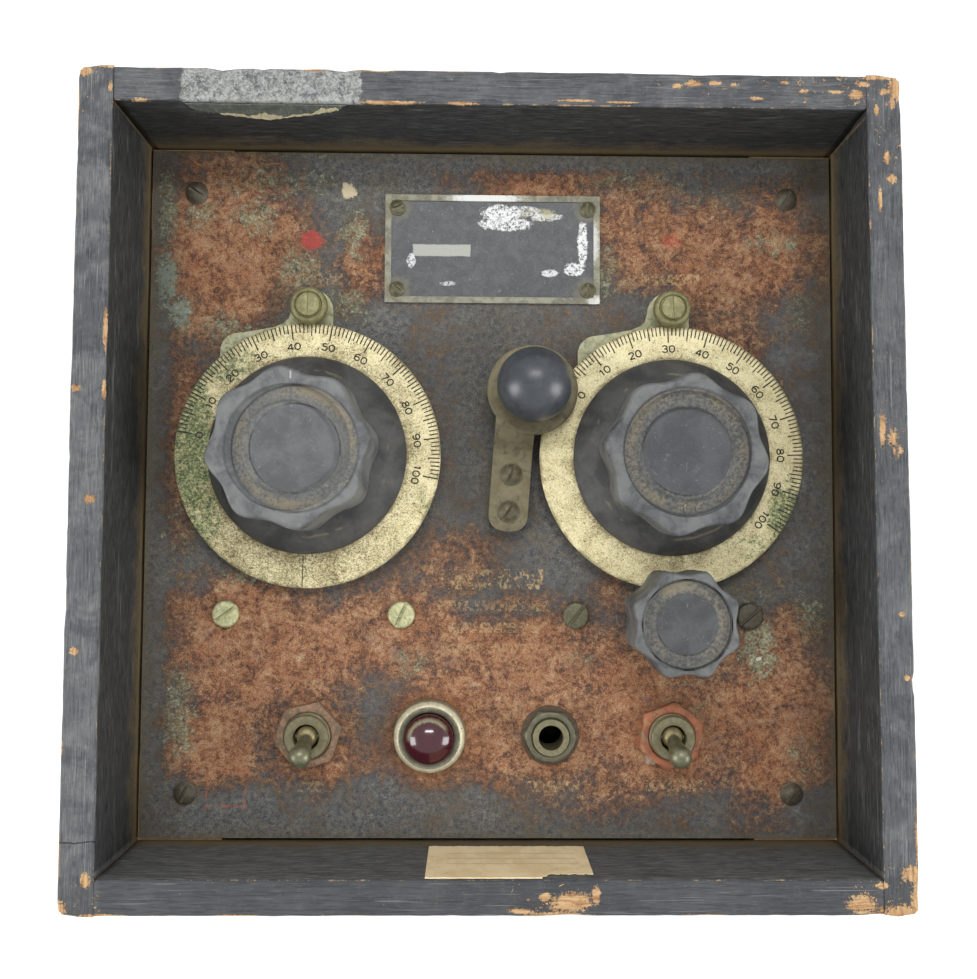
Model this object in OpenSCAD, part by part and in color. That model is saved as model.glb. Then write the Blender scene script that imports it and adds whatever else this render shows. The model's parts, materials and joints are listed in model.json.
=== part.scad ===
// Small battery radio set in an open-fronted wooden case, lying on its back.
// The control panel faces +Z and sits below the rim of the case. X runs to
// the right of the panel and Y runs up the panel. The origin is the middle
// of the case's flat back.

/* [Case] */
// Outside width of the case
case_w = 203.2; // [202:0.1:206]
// Outside height of the case, along Y
case_h = 203.2; // [202:0.1:206]
// Depth of the case, back to rim
case_d = 152.4; // [150:0.1:165]
// Thickness of the side, top and bottom boards
board_t = 8.85; // [8:0.05:9.2]
// Thickness of the back board
back_t = 9; // [6:0.5:10]
// How far the panel lies below the rim
recess = 29.2; // [28:0.1:34]
// Side of each square corner post
post_s = 22; // [20:0.5:23]

/* [Panel] */
// Width of the steel panel
panel_w = 184.3; // [183:0.1:184.8]
// Height of the steel panel
panel_h = 183.6; // [183:0.1:184.8]
// Thickness of the steel panel
panel_t = 1.6; // [1.2:0.1:2]
// Distance from the panel's middle to a corner screw, in X and in Y
corner_pitch = 80.2; // [79:0.1:82]
// Height of the row of chassis screws
chassis_row_y = -33.2; // [-34:0.1:-32]

/* [Dials] */
// Outside diameter of a dial ring
dial_d = 69.85; // [68:0.05:70]
// Height of the dial axes on the panel
dial_y = 8.8; // [8:0.1:10]
// Distance from the middle to the left dial axis
dial_x_left = 48.4; // [48:0.1:50]
// Distance from the middle to the right dial axis
dial_x_right = 47.5; // [47.2:0.1:50]
// Diameter of a large knob across its lobes
knob_d = 41.2; // [38:0.5:43]
// Height of a large knob's top above the panel
knob_top = 25.4; // [24:0.1:27]
// Number of lobes on every knob
lobes = 8; // [6:1:10]
// Distance from a dial axis to its index stud
index_r = 39.3; // [39.2:0.1:40]
// Reading of the left dial at its index, 0 to 100
left_reading = 44.4; // [1:0.1:99]
// Reading of the right dial at its index, 0 to 100
right_reading = 30.8; // [1:0.1:99]

/* [Vernier drive] */
// Distance from the right dial axis down to the drive axis
vernier_r = 42.4; // [42.3:0.1:42.8]
// Diameter of the small knob across its lobes
small_knob_d = 27.6; // [24:0.2:28]
// Height of the small knob's top above the panel
small_knob_top = 24.4; // [22:0.1:26]

/* [Switch row] */
// Height of the switch row on the panel
row_y = -64.8; // [-66:0.1:-64]
// Distance from the middle to each toggle switch
toggle_x = 47.9; // [47:0.1:49]
// Distance from the middle to the lamp and to the jack
inner_x = 15.9; // [15:0.1:17]
// Lean of each toggle lever from upright
toggle_lean = 15; // [10:0.5:15]
// Bore radius of the phone jack, for a 6.35 plug
jack_r = 3.25; // [3.2:0.01:3.3]

/* [Key] */
// Width of the key leaf
leaf_w = 10.3; // [9:0.1:10.5]
// Diameter of the key's round head
key_head_d = 23.8; // [22:0.1:24]
// Diameter of the key's ball
ball_d = 19; // [17:0.1:19.5]
// Slant of the leaf in the plane of the panel
leaf_slant = 3.9; // [3:0.1:5]

/* [Hidden] */
$fn = 72;

zr = case_d;
zp = case_d - recess;
zb = zp - panel_t;
in_w = case_w - 2 * board_t;
in_h = case_h - 2 * board_t;
xl = -dial_x_left;
xr = dial_x_right;
vy = dial_y - vernier_r;
shaft_r = 3.175;
bush_r = 4.75;
bat_r = 5.95;
ring_z0 = 4.5;
ring_t = 1.0;
shelf_y = chassis_row_y - 9.3;
key_x0 = 4.45;
key_y0 = -5.7;
s1 = [5.15, 4.1];
s2 = [key_x0, key_y0];
split_y = 7;
leaf_z = 4.5;
leaf_t = 1.0;
head_c = [10.45, 26.0];
head_z = 8.4;
side_screw_z = [22, 76, 130];

// ------------------------------------------------------------ fasteners
// Countersunk wood screw, head face at z = 0, shank down -Z.
module csk_screw(l, grow = 0) {
  translate([0, 0, -2.6]) cylinder(h = 2.6 + (grow > 0 ? 0.01 : 0), r1 = 1.75, r2 = 3.6, $fn = 32);
  translate([0, 0, -l]) cylinder(h = l - 2, r = 1.75, $fn = 32);
}
module side_screws(cut = false) {
  for (s = [-1, 1], t = [-1, 1], z = side_screw_z)
    translate([s * case_w / 2, t * (case_h / 2 - board_t / 2), z]) rotate([0, s * 90, 0])
      difference() { csk_screw(26, cut ? 1 : 0); if (!cut) slot(5, 0.9); }
}
module back_screws(cut = false) {
  for (s = [-1, 1], t = [-1, 1])
    translate([s * corner_pitch, t * corner_pitch, 0]) rotate([180, 0, 0])
      difference() { csk_screw(26, cut ? 1 : 0); if (!cut) slot(5, 0.9); }
}
module slot(w, t) translate([0, 0, 0.5]) cube([w * 2, t, 2.4], center = true);
// Slotted screw with a domed head standing on z = 0.
module dome_screw(hr, hh, sr, l, a) {
  R = (hr * hr + hh * hh) / (2 * hh);
  difference() {
    union() {
      intersection() {
        translate([0, 0, hh - R]) sphere(r = R, $fn = 48);
        cylinder(h = hh + 1, r = hr, $fn = 48);
      }
      translate([0, 0, -l]) cylinder(h = l + 0.05, r = sr, $fn = 32);
    }
    rotate([0, 0, a]) translate([-hr - 1, -0.45, hh - 1.0]) cube([2 * hr + 2, 0.9, 2]);
  }
}
// Slotted screw with a flat cheese head standing on z = 0.
module cheese_screw(hr, hh, sr, l, a) {
  difference() {
    union() {
      cylinder(h = hh * 0.65, r = hr, $fn = 48);
      translate([0, 0, hh * 0.65]) cylinder(h = hh * 0.35, r1 = hr, r2 = hr * 0.86, $fn = 48);
      translate([0, 0, -l]) cylinder(h = l + 0.05, r = sr, $fn = 32);
    }
    rotate([0, 0, a]) translate([-hr - 1, -0.5, hh - 0.95]) cube([2 * hr + 2, 1.0, 2]);
  }
}

// ------------------------------------------------------------ case
module case_side_left() color("#4a4438") difference() {
  translate([-case_w / 2, -case_h / 2, 0]) cube([board_t, case_h, case_d]);
  side_screws(true);
}
module case_side_right() color("#4a4438") difference() {
  translate([case_w / 2 - board_t, -case_h / 2, 0]) cube([board_t, case_h, case_d]);
  side_screws(true);
}
module case_top_board() color("#474236") difference() {
  translate([-in_w / 2, in_h / 2, 0]) cube([in_w, board_t, case_d]);
  side_screws(true);
}
module case_bottom_board() color("#474236") difference() {
  translate([-in_w / 2, -case_h / 2, 0]) cube([in_w, board_t, case_d]);
  side_screws(true);
}
module case_back_board() color("#5a4a34") difference() {
  translate([-in_w / 2, -in_h / 2, 0]) cube([in_w, in_h, back_t]);
  back_screws(true);
}
module corner_posts() color("#8a6a42") for (s = [-1, 1], t = [-1, 1]) difference() {
  translate([s > 0 ? in_w / 2 - post_s : -in_w / 2, t > 0 ? in_h / 2 - post_s : -in_h / 2, back_t])
    cube([post_s, post_s, zb - back_t]);
  back_screws(true);
  translate([s * corner_pitch, t * corner_pitch, zb - 18]) cylinder(h = 19, r = 1.75, $fn = 32);
}
module case_screws() color("#9a8a5a") { side_screws(); back_screws(); }
module paper_label() color("#cfc3a0")
  translate([-15.7, -in_h / 2, zp + 4.4]) cube([40.2, 0.25, 24.4]);

// ------------------------------------------------------------ panel
module front_panel() color("#6a4a3a") difference() {
  translate([-panel_w / 2, -panel_h / 2, zb]) cube([panel_w, panel_h, panel_t]);
  for (s = [-1, 1], t = [-1, 1]) translate([s * corner_pitch, t * corner_pitch, zb - 1]) cylinder(h = 4, r = 1.75, $fn = 32);
  for (x = chassis_xs()) translate([x, chassis_row_y, zb - 1]) cylinder(h = 4, r = 2.05, $fn = 32);
  for (x = [xl, xr]) translate([x, dial_y, zb - 1]) cylinder(h = 4, r = bush_r);
  for (x = [xl, xr]) translate([x, dial_y + index_r, zb - 1]) cylinder(h = 4, r = 1.8, $fn = 32);
  translate([xr, vy, zb - 1]) cylinder(h = 4, r = bush_r);
  for (s = [-1, 1]) translate([s * toggle_x, row_y, zb - 1]) cylinder(h = 4, r = bat_r);
  translate([-inner_x, row_y, zb - 1]) cylinder(h = 4, r = 6.95);
  translate([inner_x, row_y, zb - 1]) cylinder(h = 4, r = bush_r);
  for (p = [s1, s2]) translate([p[0], p[1], zb - 1]) cylinder(h = 4, r = 1.45, $fn = 32);
  translate([6.2, 19, zb - 1]) cylinder(h = 4, r = 1.5, $fn = 32);
  for (s = [-1, 1], t = [-1, 1]) translate([s * 25.8, 65.5 + t * 11.1, zb - 1]) cylinder(h = 4, r = 1.1, $fn = 32);
}
function chassis_xs() = [for (i = [-1.5, -0.5, 0.5, 1.5]) -0.45 + i * 46.5];
module panel_screws() color("#6e6a50") {
  translate([-corner_pitch, corner_pitch, zp]) dome_screw(3.1, 1.9, 1.75, 16, -32);
  translate([corner_pitch, corner_pitch, zp]) dome_screw(3.1, 1.9, 1.75, 16, 62);
  translate([-corner_pitch, -corner_pitch, zp]) dome_screw(3.1, 1.9, 1.75, 16, 72);
  translate([corner_pitch, -corner_pitch, zp]) dome_screw(3.1, 1.9, 1.75, 16, 48);
}
module chassis_shelf() color("#a8a89c") difference() {
  union() {
    translate([-90, shelf_y, zb - 1.5]) cube([180, 15.5, 1.5]);
    translate([-90, shelf_y, 38]) cube([180, 1.5, zb - 38]);
    translate([-90, shelf_y, 38]) cube([180, 9, 1.5]);
  }
  for (x = chassis_xs()) translate([x, chassis_row_y, zb - 3]) cylinder(h = 4, r = 2.05, $fn = 32);
  translate([xr, vy, zb - 3]) cylinder(h = 4, r = bush_r);
  for (x = [-52, 0, 52]) translate([x, shelf_y - 1, 60]) rotate([-90, 0, 0]) cylinder(h = 4, r = 11);
}
module chassis_screws() color("#8c8a5e")
  for (i = [0:3]) translate([chassis_xs()[i], chassis_row_y, zp]) cheese_screw(3.55, 1.9, 2.05, 7, [36, 66, 52, 40][i]);
module nameplate() color("#2b2c2e") difference() {
  union() {
    translate([-29.1, 65.5 - 14.8, zp]) cube([58.2, 29.6, 0.55]);
    difference() {
      translate([-29.1, 65.5 - 14.8, zp]) cube([58.2, 29.6, 0.85]);
      translate([-27.4, 65.5 - 13.1, zp - 1]) cube([54.8, 26.2, 4]);
    }
  }
  for (s = [-1, 1], t = [-1, 1]) translate([s * 25.8, 65.5 + t * 11.1, 0]) {
    translate([0, 0, zp - 1]) cylinder(h = 4, r = 1.1, $fn = 32);
    translate([0, 0, zp + 0.55]) cylinder(h = 4, r = 2.25, $fn = 48);
  }
}
module nameplate_screws() color("#8f8a68")
  for (s = [-1, 1], t = [-1, 1])
    translate([s * 25.8, 65.5 + t * 11.1, zp + 0.55]) dome_screw(2.15, 1.2, 1.1, 5, 35 + 40 * s + 25 * t);

// ------------------------------------------------------------ dials
// Plate behind the dial edge, with the tab that carries the index stud.
module index_plate_2d() {
  translate([-19.4, 28.1]) circle(r = 5);
  translate([0, index_r]) circle(r = 5.6);
  polygon([[-24.4, 28.1], [-24.4, 14], [24, 14], [16, 28], [5.6, 31], [5.6, index_r], [-5.6, index_r],
    [-6.2, 37.2], [-7.6, 35.8], [-10, 34.75], [-15, 33.8], [-19.4, 33.1]]);
}
module index_plates() color("#a3a06a") for (x = [xl, xr]) translate([x, dial_y, zp]) difference() {
  linear_extrude(1.4) index_plate_2d();
  translate([0, index_r, -1]) cylinder(h = 4, r = 1.8, $fn = 32);
  translate([0, 0, -1]) cylinder(h = 4, r = 16);
}
module index_studs() color("#a9a256") for (x = [xl, xr]) translate([x, dial_y + index_r, zp]) difference() {
  union() {
    translate([0, 0, -5]) cylinder(h = 6.41, r = 1.8, $fn = 32);
    translate([0, 0, 1.4]) cylinder(h = 4.7, r = 3.5);
    translate([0, 0, 6.1]) cylinder(h = 1.6, r = 4.95);
    translate([0, 0, 7.7]) cylinder(h = 0.8, r1 = 4.95, r2 = 4.2);
    translate([0, 0, 8.0]) cylinder(h = 1.0, r = 3.1);
  }
  translate([0, 0, 8.1]) difference() { cylinder(h = 2, r = 3.6); translate([0, 0, -1]) cylinder(h = 4, r = 3.1); }
}
module dial_ring(x) translate([x, dial_y, zp + ring_z0]) difference() {
  cylinder(h = ring_t, r = dial_d / 2, $fn = 120);
  translate([0, 0, -1]) cylinder(h = 4, r = 21, $fn = 96);
}
// Fluted bakelite knob with a domed skirt, standing on the dial ring.
module lobed(R, depth, h) difference() {
  cylinder(h = h, r = R, $fn = 96);
  for (i = [0:lobes - 1]) rotate([0, 0, (i + 0.5) * 360 / lobes])
    translate([R * 1.47 - depth, 0, -1]) cylinder(h = h + 2, r = R * 0.47, $fn = 48);
}
module tuning_knob(x, phase) translate([x, dial_y, zp]) difference() {
  union() {
    rotate_extrude($fn = 96) polygon([[0, 5.5], [26, 5.5], [26, 6.1], [25.2, 6.9], [22.6, 8.6], [19.6, 10.2], [17.4, 11.4], [17.4, 13], [0, 13]]);
    rotate([0, 0, phase]) translate([0, 0, 12.4]) lobed(knob_d / 2, 1.7, knob_top - 12.4);
  }
  translate([0, 0, knob_top - 1.2]) difference() {
    cylinder(h = 3, r = knob_d * 0.379);
    translate([0, 0, -1]) cylinder(h = 5, r = knob_d * 0.284);
  }
  translate([0, 0, 5]) cylinder(h = 15, r = shaft_r);
  translate([0, 0, 16]) rotate([90, 0, 0]) cylinder(h = 24, r = 1.9, $fn = 32);
}
// Headless slotted screw, reaching radially from the shaft along -Y.
module set_screw(len) difference() {
  rotate([90, 0, 0]) translate([0, 0, shaft_r]) cylinder(h = len, r = 1.9, $fn = 32);
  translate([-3, -shaft_r - len - 1, -0.35]) cube([6, 2, 0.7]);
}
module left_dial_ring() color("#d8c988") dial_ring(xl);
module right_dial_ring() color("#d8c988") dial_ring(xr);
module left_tuning_knob() color("#55565a") tuning_knob(xl, 96.7);
module right_tuning_knob() color("#55565a") tuning_knob(xr, 81);
module left_set_screw() color("#77705a") translate([xl, dial_y, zp + 16]) set_screw(9);
module right_set_screw() color("#77705a") translate([xr, dial_y, zp + 16]) set_screw(9);

// ------------------------------------------------------------ tuning capacitors
cap_depth = 42;
module tuning_shaft(x) translate([x, dial_y, zb - cap_depth - 3]) cylinder(h = cap_depth + 3 + panel_t + 20, r = shaft_r);
module rotor_plates(x, a) translate([x, dial_y, zb - cap_depth]) rotate([0, 0, a]) difference() {
  union() {
    translate([0, 0, 5]) cylinder(h = 32, r = 5);
    for (i = [0:8]) translate([0, 0, 8 + i * 3]) intersection() {
      cylinder(h = 0.6, r = 17);
      translate([-2.5, -20, -1]) cube([30, 40, 3]);
    }
  }
  translate([0, 0, -1]) cylinder(h = 50, r = shaft_r);
}
module stator_plates(x) translate([x, dial_y, zb - cap_depth]) {
  for (i = [0:9]) translate([0, 0, 6.5 + i * 3]) difference() {
    intersection() {
      cylinder(h = 0.6, r = 20.6);
      translate([-30, -32, -1]) cube([60, 30, 3]);
    }
    translate([0, 0, -1]) cylinder(h = 3, r = 6.2);
    for (s = [-1, 1]) translate([s * 14.2, -13, -1]) cylinder(h = 3, r = 1.5, $fn = 32);
  }
  for (s = [-1, 1]) translate([s * 14.2, -13, 2]) cylinder(h = cap_depth - 4, r = 1.5, $fn = 32);
}
module capacitor_frame(x) translate([x, dial_y, zb - cap_depth]) difference() {
  union() {
    translate([-22, -22, cap_depth - 2]) cube([44, 44, 2]);
    translate([-22, -22, 0]) cube([44, 44, 2]);
    for (s = [-1, 1], t = [-1, 1]) translate([s * 19, t * 19, 1]) cylinder(h = cap_depth - 2, r = 2.4, $fn = 32);
    translate([0, 0, cap_depth - 1]) cylinder(h = 1 + panel_t + 2.2, r = bush_r);
    translate([0, 0, cap_depth - 4]) cylinder(h = 3, r = 6.5);
  }
  translate([0, 0, -1]) cylinder(h = cap_depth + 10, r = shaft_r + 0.04);
}
module left_tuning_shaft() color("#b8b8b0") tuning_shaft(xl);
module right_tuning_shaft() color("#b8b8b0") tuning_shaft(xr);
module left_rotor_plates() color("#c8c8c4") rotor_plates(xl, -90 + 1.8 * left_reading);
module right_rotor_plates() color("#c8c8c4") rotor_plates(xr, -90 + 1.8 * right_reading);
module left_capacitor_frame() color("#9c9c94") capacitor_frame(xl);
module right_capacitor_frame() color("#9c9c94") capacitor_frame(xr);
module left_stator_plates() color("#b4b4ae") stator_plates(xl);
module right_stator_plates() color("#b4b4ae") stator_plates(xr);

// ------------------------------------------------------------ vernier drive
// Two discs on the small knob's shaft pinch the edge of the right dial ring.
module vernier_knob() color("#56575b") translate([xr, vy, zp]) difference() {
  union() {
    translate([0, 0, 7.6]) cylinder(h = 2.2, r = 10.4);
    rotate([0, 0, 23.5]) translate([0, 0, 9.6]) lobed(small_knob_d / 2, 1.7, small_knob_top - 9.6);
  }
  translate([0, 0, small_knob_top - 1.0]) difference() {
    cylinder(h = 3, r = small_knob_d * 0.41);
    translate([0, 0, -1]) cylinder(h = 5, r = small_knob_d * 0.265);
  }
  translate([0, 0, 7]) cylinder(h = 12.5, r = shaft_r);
}
module vernier_shaft() color("#a6a28c") translate([xr, vy, zp]) {
  translate([0, 0, -12]) cylinder(h = 31.5, r = shaft_r);
  translate([0, 0, 3.1]) cylinder(h = 1.1, r = 8.7);
  translate([0, 0, 4]) cylinder(h = 2, r = 6.6);
  translate([0, 0, 5.8]) cylinder(h = 1.1, r = 8.7);
}
module vernier_bushing() color("#9a9060") translate([xr, vy, zp]) difference() {
  union() {
    translate([0, 0, -panel_t - 8]) cylinder(h = panel_t + 10, r = bush_r);
    cylinder(h = 1.2, r = 7);
  }
  translate([0, 0, -20]) cylinder(h = 30, r = shaft_r + 0.04);
}

// ------------------------------------------------------------ key
module on_leaf() translate([key_x0, key_y0, 0]) rotate([0, 0, -leaf_slant]) children();
module key_base_block() color("#232220") difference() {
  on_leaf() translate([-leaf_w / 2 + 0.4, -4.6, zp]) cube([leaf_w - 0.8, 16.6, leaf_z]);
  for (p = [s1, s2]) translate([p[0], p[1], zp - 1]) cylinder(h = 8, r = 1.45, $fn = 32);
}
module key_leaf_root() color("#8c8258") difference() {
  on_leaf() translate([0, 0, zp + leaf_z]) {
    translate([-leaf_w / 2, 0, 0]) cube([leaf_w, split_y - key_y0 - 0.15, leaf_t]);
    for (s = [-1, 1]) translate([s * (leaf_w / 2 - 4), -1.2, 0]) cylinder(h = leaf_t, r = 4);
    translate([-leaf_w / 2 + 4, -5.2, 0]) cube([leaf_w - 8, 6, leaf_t]);
    translate([-leaf_w / 2, -1.2, 0]) cube([leaf_w, 2, leaf_t]);
  }
  for (p = [s1, s2]) translate([p[0], p[1], zp - 1]) cylinder(h = 8, r = 1.45, $fn = 32);
}
module key_leaf_arm() color("#8c8258") {
  on_leaf() translate([-leaf_w / 2, -key_y0, zp]) rotate([90, 0, 90]) linear_extrude(leaf_w)
    polygon([[split_y + 0.15, leaf_z], [9.5, leaf_z], [15, head_z], [24, head_z], [24, head_z + leaf_t],
      [14.4, head_z + leaf_t], [9, leaf_z + leaf_t], [split_y + 0.15, leaf_z + leaf_t]]);
  translate([head_c[0], head_c[1], zp + head_z]) cylinder(h = leaf_t, r = key_head_d / 2);
}
module key_ball() color("#3c3f46") translate([head_c[0], head_c[1], zp + head_z + leaf_t]) intersection() {
  translate([0, 0, ball_d / 2 - 1.1]) sphere(r = ball_d / 2, $fn = 96);
  translate([0, 0, 25]) cube(50, center = true);
}
module key_screws() color("#8a8054") {
  translate([s1[0], s1[1], zp + leaf_z + leaf_t]) dome_screw(3.0, 1.5, 1.45, 11, 66);
  translate([s2[0], s2[1], zp + leaf_z + leaf_t]) dome_screw(3.0, 1.5, 1.45, 11, 58);
}
module key_contact_post() color("#b09a58") translate([6.2, 19, zp]) {
  translate([0, 0, -5]) cylinder(h = 5.2, r = 1.5, $fn = 32);
  cylinder(h = 5.6, r = 2.4, $fn = 48);
  translate([0, 0, 5.6]) cylinder(h = 1.4, r1 = 2.4, r2 = 1.2, $fn = 48);
}

// ------------------------------------------------------------ switches
pivot_z = 2.5;
module switch_body(x) translate([x, row_y, zp]) difference() {
  union() {
    translate([-7, -15, -panel_t - 20]) cube([14, 30, 20]);
    translate([0, 0, -panel_t - 0.1]) cylinder(h = panel_t + 5.1, r = bat_r);
    for (t = [-1, 0, 1]) translate([-0.4, t * 9 - 2, -panel_t - 27]) cube([0.8, 4, 7.2]);
  }
  translate([0, 0, -2]) cylinder(h = 9, r = 3.3);
  translate([-4, -10, -panel_t - 14]) cube([8, 20, 14]);
}
module toggle_lever(x) translate([x, row_y, zp + pivot_z]) rotate([toggle_lean, 0, 0]) {
  sphere(r = 2.85, $fn = 48);
  cylinder(h = 12.4, r1 = 1.6, r2 = 2.8, $fn = 48);
  translate([0, 0, 12.2]) sphere(r = 2.9, $fn = 48);
  translate([0, 0, -8]) cylinder(h = 8, r = 1.4, $fn = 32);
  // pivot pin
  translate([-3.1, 0, 0]) rotate([0, 90, 0]) cylinder(h = 6.2, r = 0.8, $fn = 32);
}
module power_switch_body() color("#6e5a40") switch_body(-toggle_x);
module band_switch_body() color("#6e5a40") switch_body(toggle_x);
module power_toggle_lever() color("#9a9468") toggle_lever(-toggle_x);
module band_toggle_lever() color("#8e9068") toggle_lever(toggle_x);
module switch_nuts() color("#8a5a40") for (q = [[-toggle_x, 13], [toggle_x, 21]]) translate([q[0], row_y, zp])
  difference() {
    rotate([0, 0, q[1]]) cylinder(h = 2.5, r = 9.15, $fn = 6);
    translate([0, 0, -1]) cylinder(h = 5, r = bat_r);
  }

// ------------------------------------------------------------ pilot lamp
module lamp_bezel() color("#b5ae8c") translate([-inner_x, row_y, zp]) difference() {
  union() {
    cylinder(h = 2.8, r = 9.6);
    translate([0, 0, 2.8]) cylinder(h = 2.3, r1 = 9.6, r2 = 8);
    translate([0, 0, -12]) cylinder(h = 12.1, r = 6.95);
  }
  translate([0, 0, -13]) cylinder(h = 20, r = 6.4);
}
module lamp_jewel() color("#5a1424") translate([-inner_x, row_y, zp]) intersection() {
  translate([0, 0, 2.4]) sphere(r = 8);
  translate([0, 0, 0.6]) cylinder(h = 12, r = 6.4);
}
module lamp_socket() color("#b0a06a") translate([-inner_x, row_y, zp]) difference() {
  translate([0, 0, -26]) cylinder(h = 26 - panel_t, r = 8.4);
  translate([0, 0, -24]) cylinder(h = 30, r = 6.95);
}
module lamp_bulb() color("#d8dcd8") translate([-inner_x, row_y, zp]) {
  translate([0, 0, -24]) cylinder(h = 12, r = 4.6, $fn = 48);
  translate([0, 0, -8.5]) sphere(r = 5.2, $fn = 48);
}

// ------------------------------------------------------------ phone jack
module phone_jack_body() color("#b0a888") translate([inner_x, row_y, zp]) difference() {
  union() {
    translate([0, 0, -panel_t - 0.1]) cylinder(h = panel_t + 4.5, r = bush_r);
    translate([0, 0, -panel_t - 3]) cylinder(h = 3, r = 8);
    translate([-5, -10, -panel_t - 3]) cube([10, 4, 3]);
    translate([-5, -10, -40]) cube([10, 1.5, 38]);
  }
  translate([0, 0, -10]) cylinder(h = 20, r = jack_r);
}
module phone_jack_nut() color("#8f8b72") translate([inner_x, row_y, zp]) difference() {
  union() {
    cylinder(h = 0.8, r = 7.7);
    translate([0, 0, 0.8]) rotate([0, 0, -3]) cylinder(h = 2.5, r = 7.35, $fn = 6);
  }
  translate([0, 0, -1]) cylinder(h = 6, r = bush_r);
}
module phone_jack_springs() color("#b8a060") translate([inner_x, row_y, zp]) {
  translate([-4, -8.5, -40]) cube([8, 9.5, 9]);
  translate([-2.5, -6.2, -32]) cube([5, 0.5, 24]);
  translate([-2.5, 0.4, -32]) cube([5, 0.5, 6]);
}

// ------------------------------------------------------------ chassis parts
module upright(x, z) translate([x, shelf_y, z]) rotate([-90, 0, 0]) children();
module vacuum_tubes() color("#c0c8c8") for (x = [-52, 0, 52]) upright(x, 60) {
  translate([0, 0, 6.6]) cylinder(h = 16, r = 14.5);
  translate([0, 0, 22.6]) cylinder(h = 36, r = 13.5);
  intersection() {
    translate([0, 0, 51]) sphere(r = 15.5);
    translate([0, 0, 58.6]) cylinder(h = 12, r = 13.5);
  }
}
module tube_sockets() color("#3a2c22") for (x = [-52, 0, 52]) upright(x, 60) {
  translate([0, 0, -4]) cylinder(h = 6, r = 11);
  translate([0, 0, 1.5]) cylinder(h = 5.1, r = 15.5);
}
module coil_formers() color("#7a4a2a") upright(0, 98) {
  translate([0, 0, 1.5]) cylinder(h = 54, r = 8);
  for (z = [8, 24, 40]) translate([0, 0, z]) cylinder(h = 9, r = 9.6);
}
module audio_transformer() color("#3a3a3e") translate([-40, shelf_y, 56]) {
  translate([0, -28, 0]) cube([28, 28, 34]);
  translate([-3.2, -1.6, 20]) cube([3.2, 1.6, 12]);
  translate([28, -1.6, 20]) cube([3.2, 1.6, 12]);
}
module terminal_strip() color("#6b4a2c") {
  translate([26, shelf_y - 6, 56]) cube([56, 1.6, 34]);
  for (x = [30, 74]) translate([x, shelf_y - 4.4, 70]) cube([4, 4.4, 6]);
}
module resistors_capacitors() color("#b07a3c") for (i = [0:5]) translate([31 + i * 9, shelf_y - 6 - 2.6, 60]) {
  translate([0, 0, 4]) cylinder(h = 16 + 2 * (i % 3), r = 2.6, $fn = 32);
  cylinder(h = 27, r = 0.4, $fn = 16);
}
module batteries() color("#7a2c26") {
  translate([-56, -6, back_t]) cube([112, 76, 27]);
  for (s = [-1, 1]) translate([s * 33, -62, 26]) rotate([0, 90, 0]) {
    translate([0, 0, -29]) cylinder(h = 56, r = 16.2);
    translate([0, 0, 27]) cylinder(h = 2, r = 4, $fn = 32);
  }
}
module battery_clamps() color("#a8a48c") {
  translate([-8, -22, back_t]) cube([16, 14.5, 1.2]);
  translate([-8, -7.7, back_t]) cube([16, 1.2, 29]);
  translate([-8, -7.7, back_t + 27.4]) cube([16, 79.4, 1.2]);
  translate([-8, 70.5, back_t]) cube([16, 1.2, 28.5]);
  translate([-8, 70.5, back_t]) cube([16, 14, 1.2]);
  for (s = [-1, 1]) translate([s * 33 - 6, 0, 0]) difference() {
    union() {
      intersection() {
        translate([0, -62, 26]) rotate([0, 90, 0]) cylinder(h = 12, r = 17.6);
        translate([-1, -90, 25]) cube([14, 60, 30]);
      }
      translate([0, -83, back_t]) cube([12, 42, 1.2]);
      translate([0, -79.6, back_t]) cube([12, 35.2, 17]);
    }
    translate([-1, -62, 26]) rotate([0, 90, 0]) cylinder(h = 14, r = 16.4);
    translate([-1, -78.4, back_t - 1]) cube([14, 32.8, 18]);
  }
}
// Straight runs of insulated wire with square corners.
module run(a, b, r) {
  v = b - a;
  l = norm(v);
  translate(a) rotate([0, atan2(norm([v[0], v[1]]), v[2]), atan2(v[1], v[0])])
    translate([0, 0, -r]) cylinder(h = l + 2 * r, r = r, $fn = 8);
}
module wire(p, r = 0.8) for (i = [0:len(p) - 2]) run(p[i], p[i + 1], r);
module hookup_wires() color("#8a8a3a") {
  wire([[-toggle_x, row_y + 9, zb - 27.9], [-toggle_x, row_y + 9, 50], [-68, row_y + 9, 50], [-68, row_y + 9, 14], [-68, 20, 14], [-57, 20, 14]]);
  wire([[-toggle_x, row_y, zb - 27.9], [-toggle_x, row_y, 48], [0, row_y, 48], [0, row_y, 28]]);
  wire([[-inner_x, row_y, zp - 27], [-inner_x, row_y, 94], [-inner_x, row_y + 12, 94], [inner_x, row_y + 12, 94], [inner_x, row_y + 1.8, 94]]);
  wire([[toggle_x, row_y + 9, zb - 27.9], [toggle_x, row_y + 9, 89], [49, row_y + 9, 89], [49, shelf_y - 8.6, 89], [49, shelf_y - 8.6, 88]]);
}

case_side_left();
case_side_right();
case_top_board();
case_bottom_board();
case_back_board();
corner_posts();
case_screws();
paper_label();
front_panel();
panel_screws();
chassis_shelf();
chassis_screws();
nameplate();
nameplate_screws();
index_plates();
index_studs();
left_dial_ring();
left_tuning_knob();
left_tuning_shaft();
left_rotor_plates();
left_capacitor_frame();
left_stator_plates();
left_set_screw();
right_dial_ring();
right_tuning_knob();
right_tuning_shaft();
right_rotor_plates();
right_capacitor_frame();
right_stator_plates();
right_set_screw();
vernier_knob();
vernier_shaft();
vernier_bushing();
key_base_block();
key_leaf_root();
key_leaf_arm();
key_ball();
key_screws();
key_contact_post();
power_switch_body();
power_toggle_lever();
band_switch_body();
band_toggle_lever();
switch_nuts();
lamp_bezel();
lamp_jewel();
lamp_socket();
lamp_bulb();
phone_jack_body();
phone_jack_nut();
phone_jack_springs();
vacuum_tubes();
tube_sockets();
coil_formers();
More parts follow.
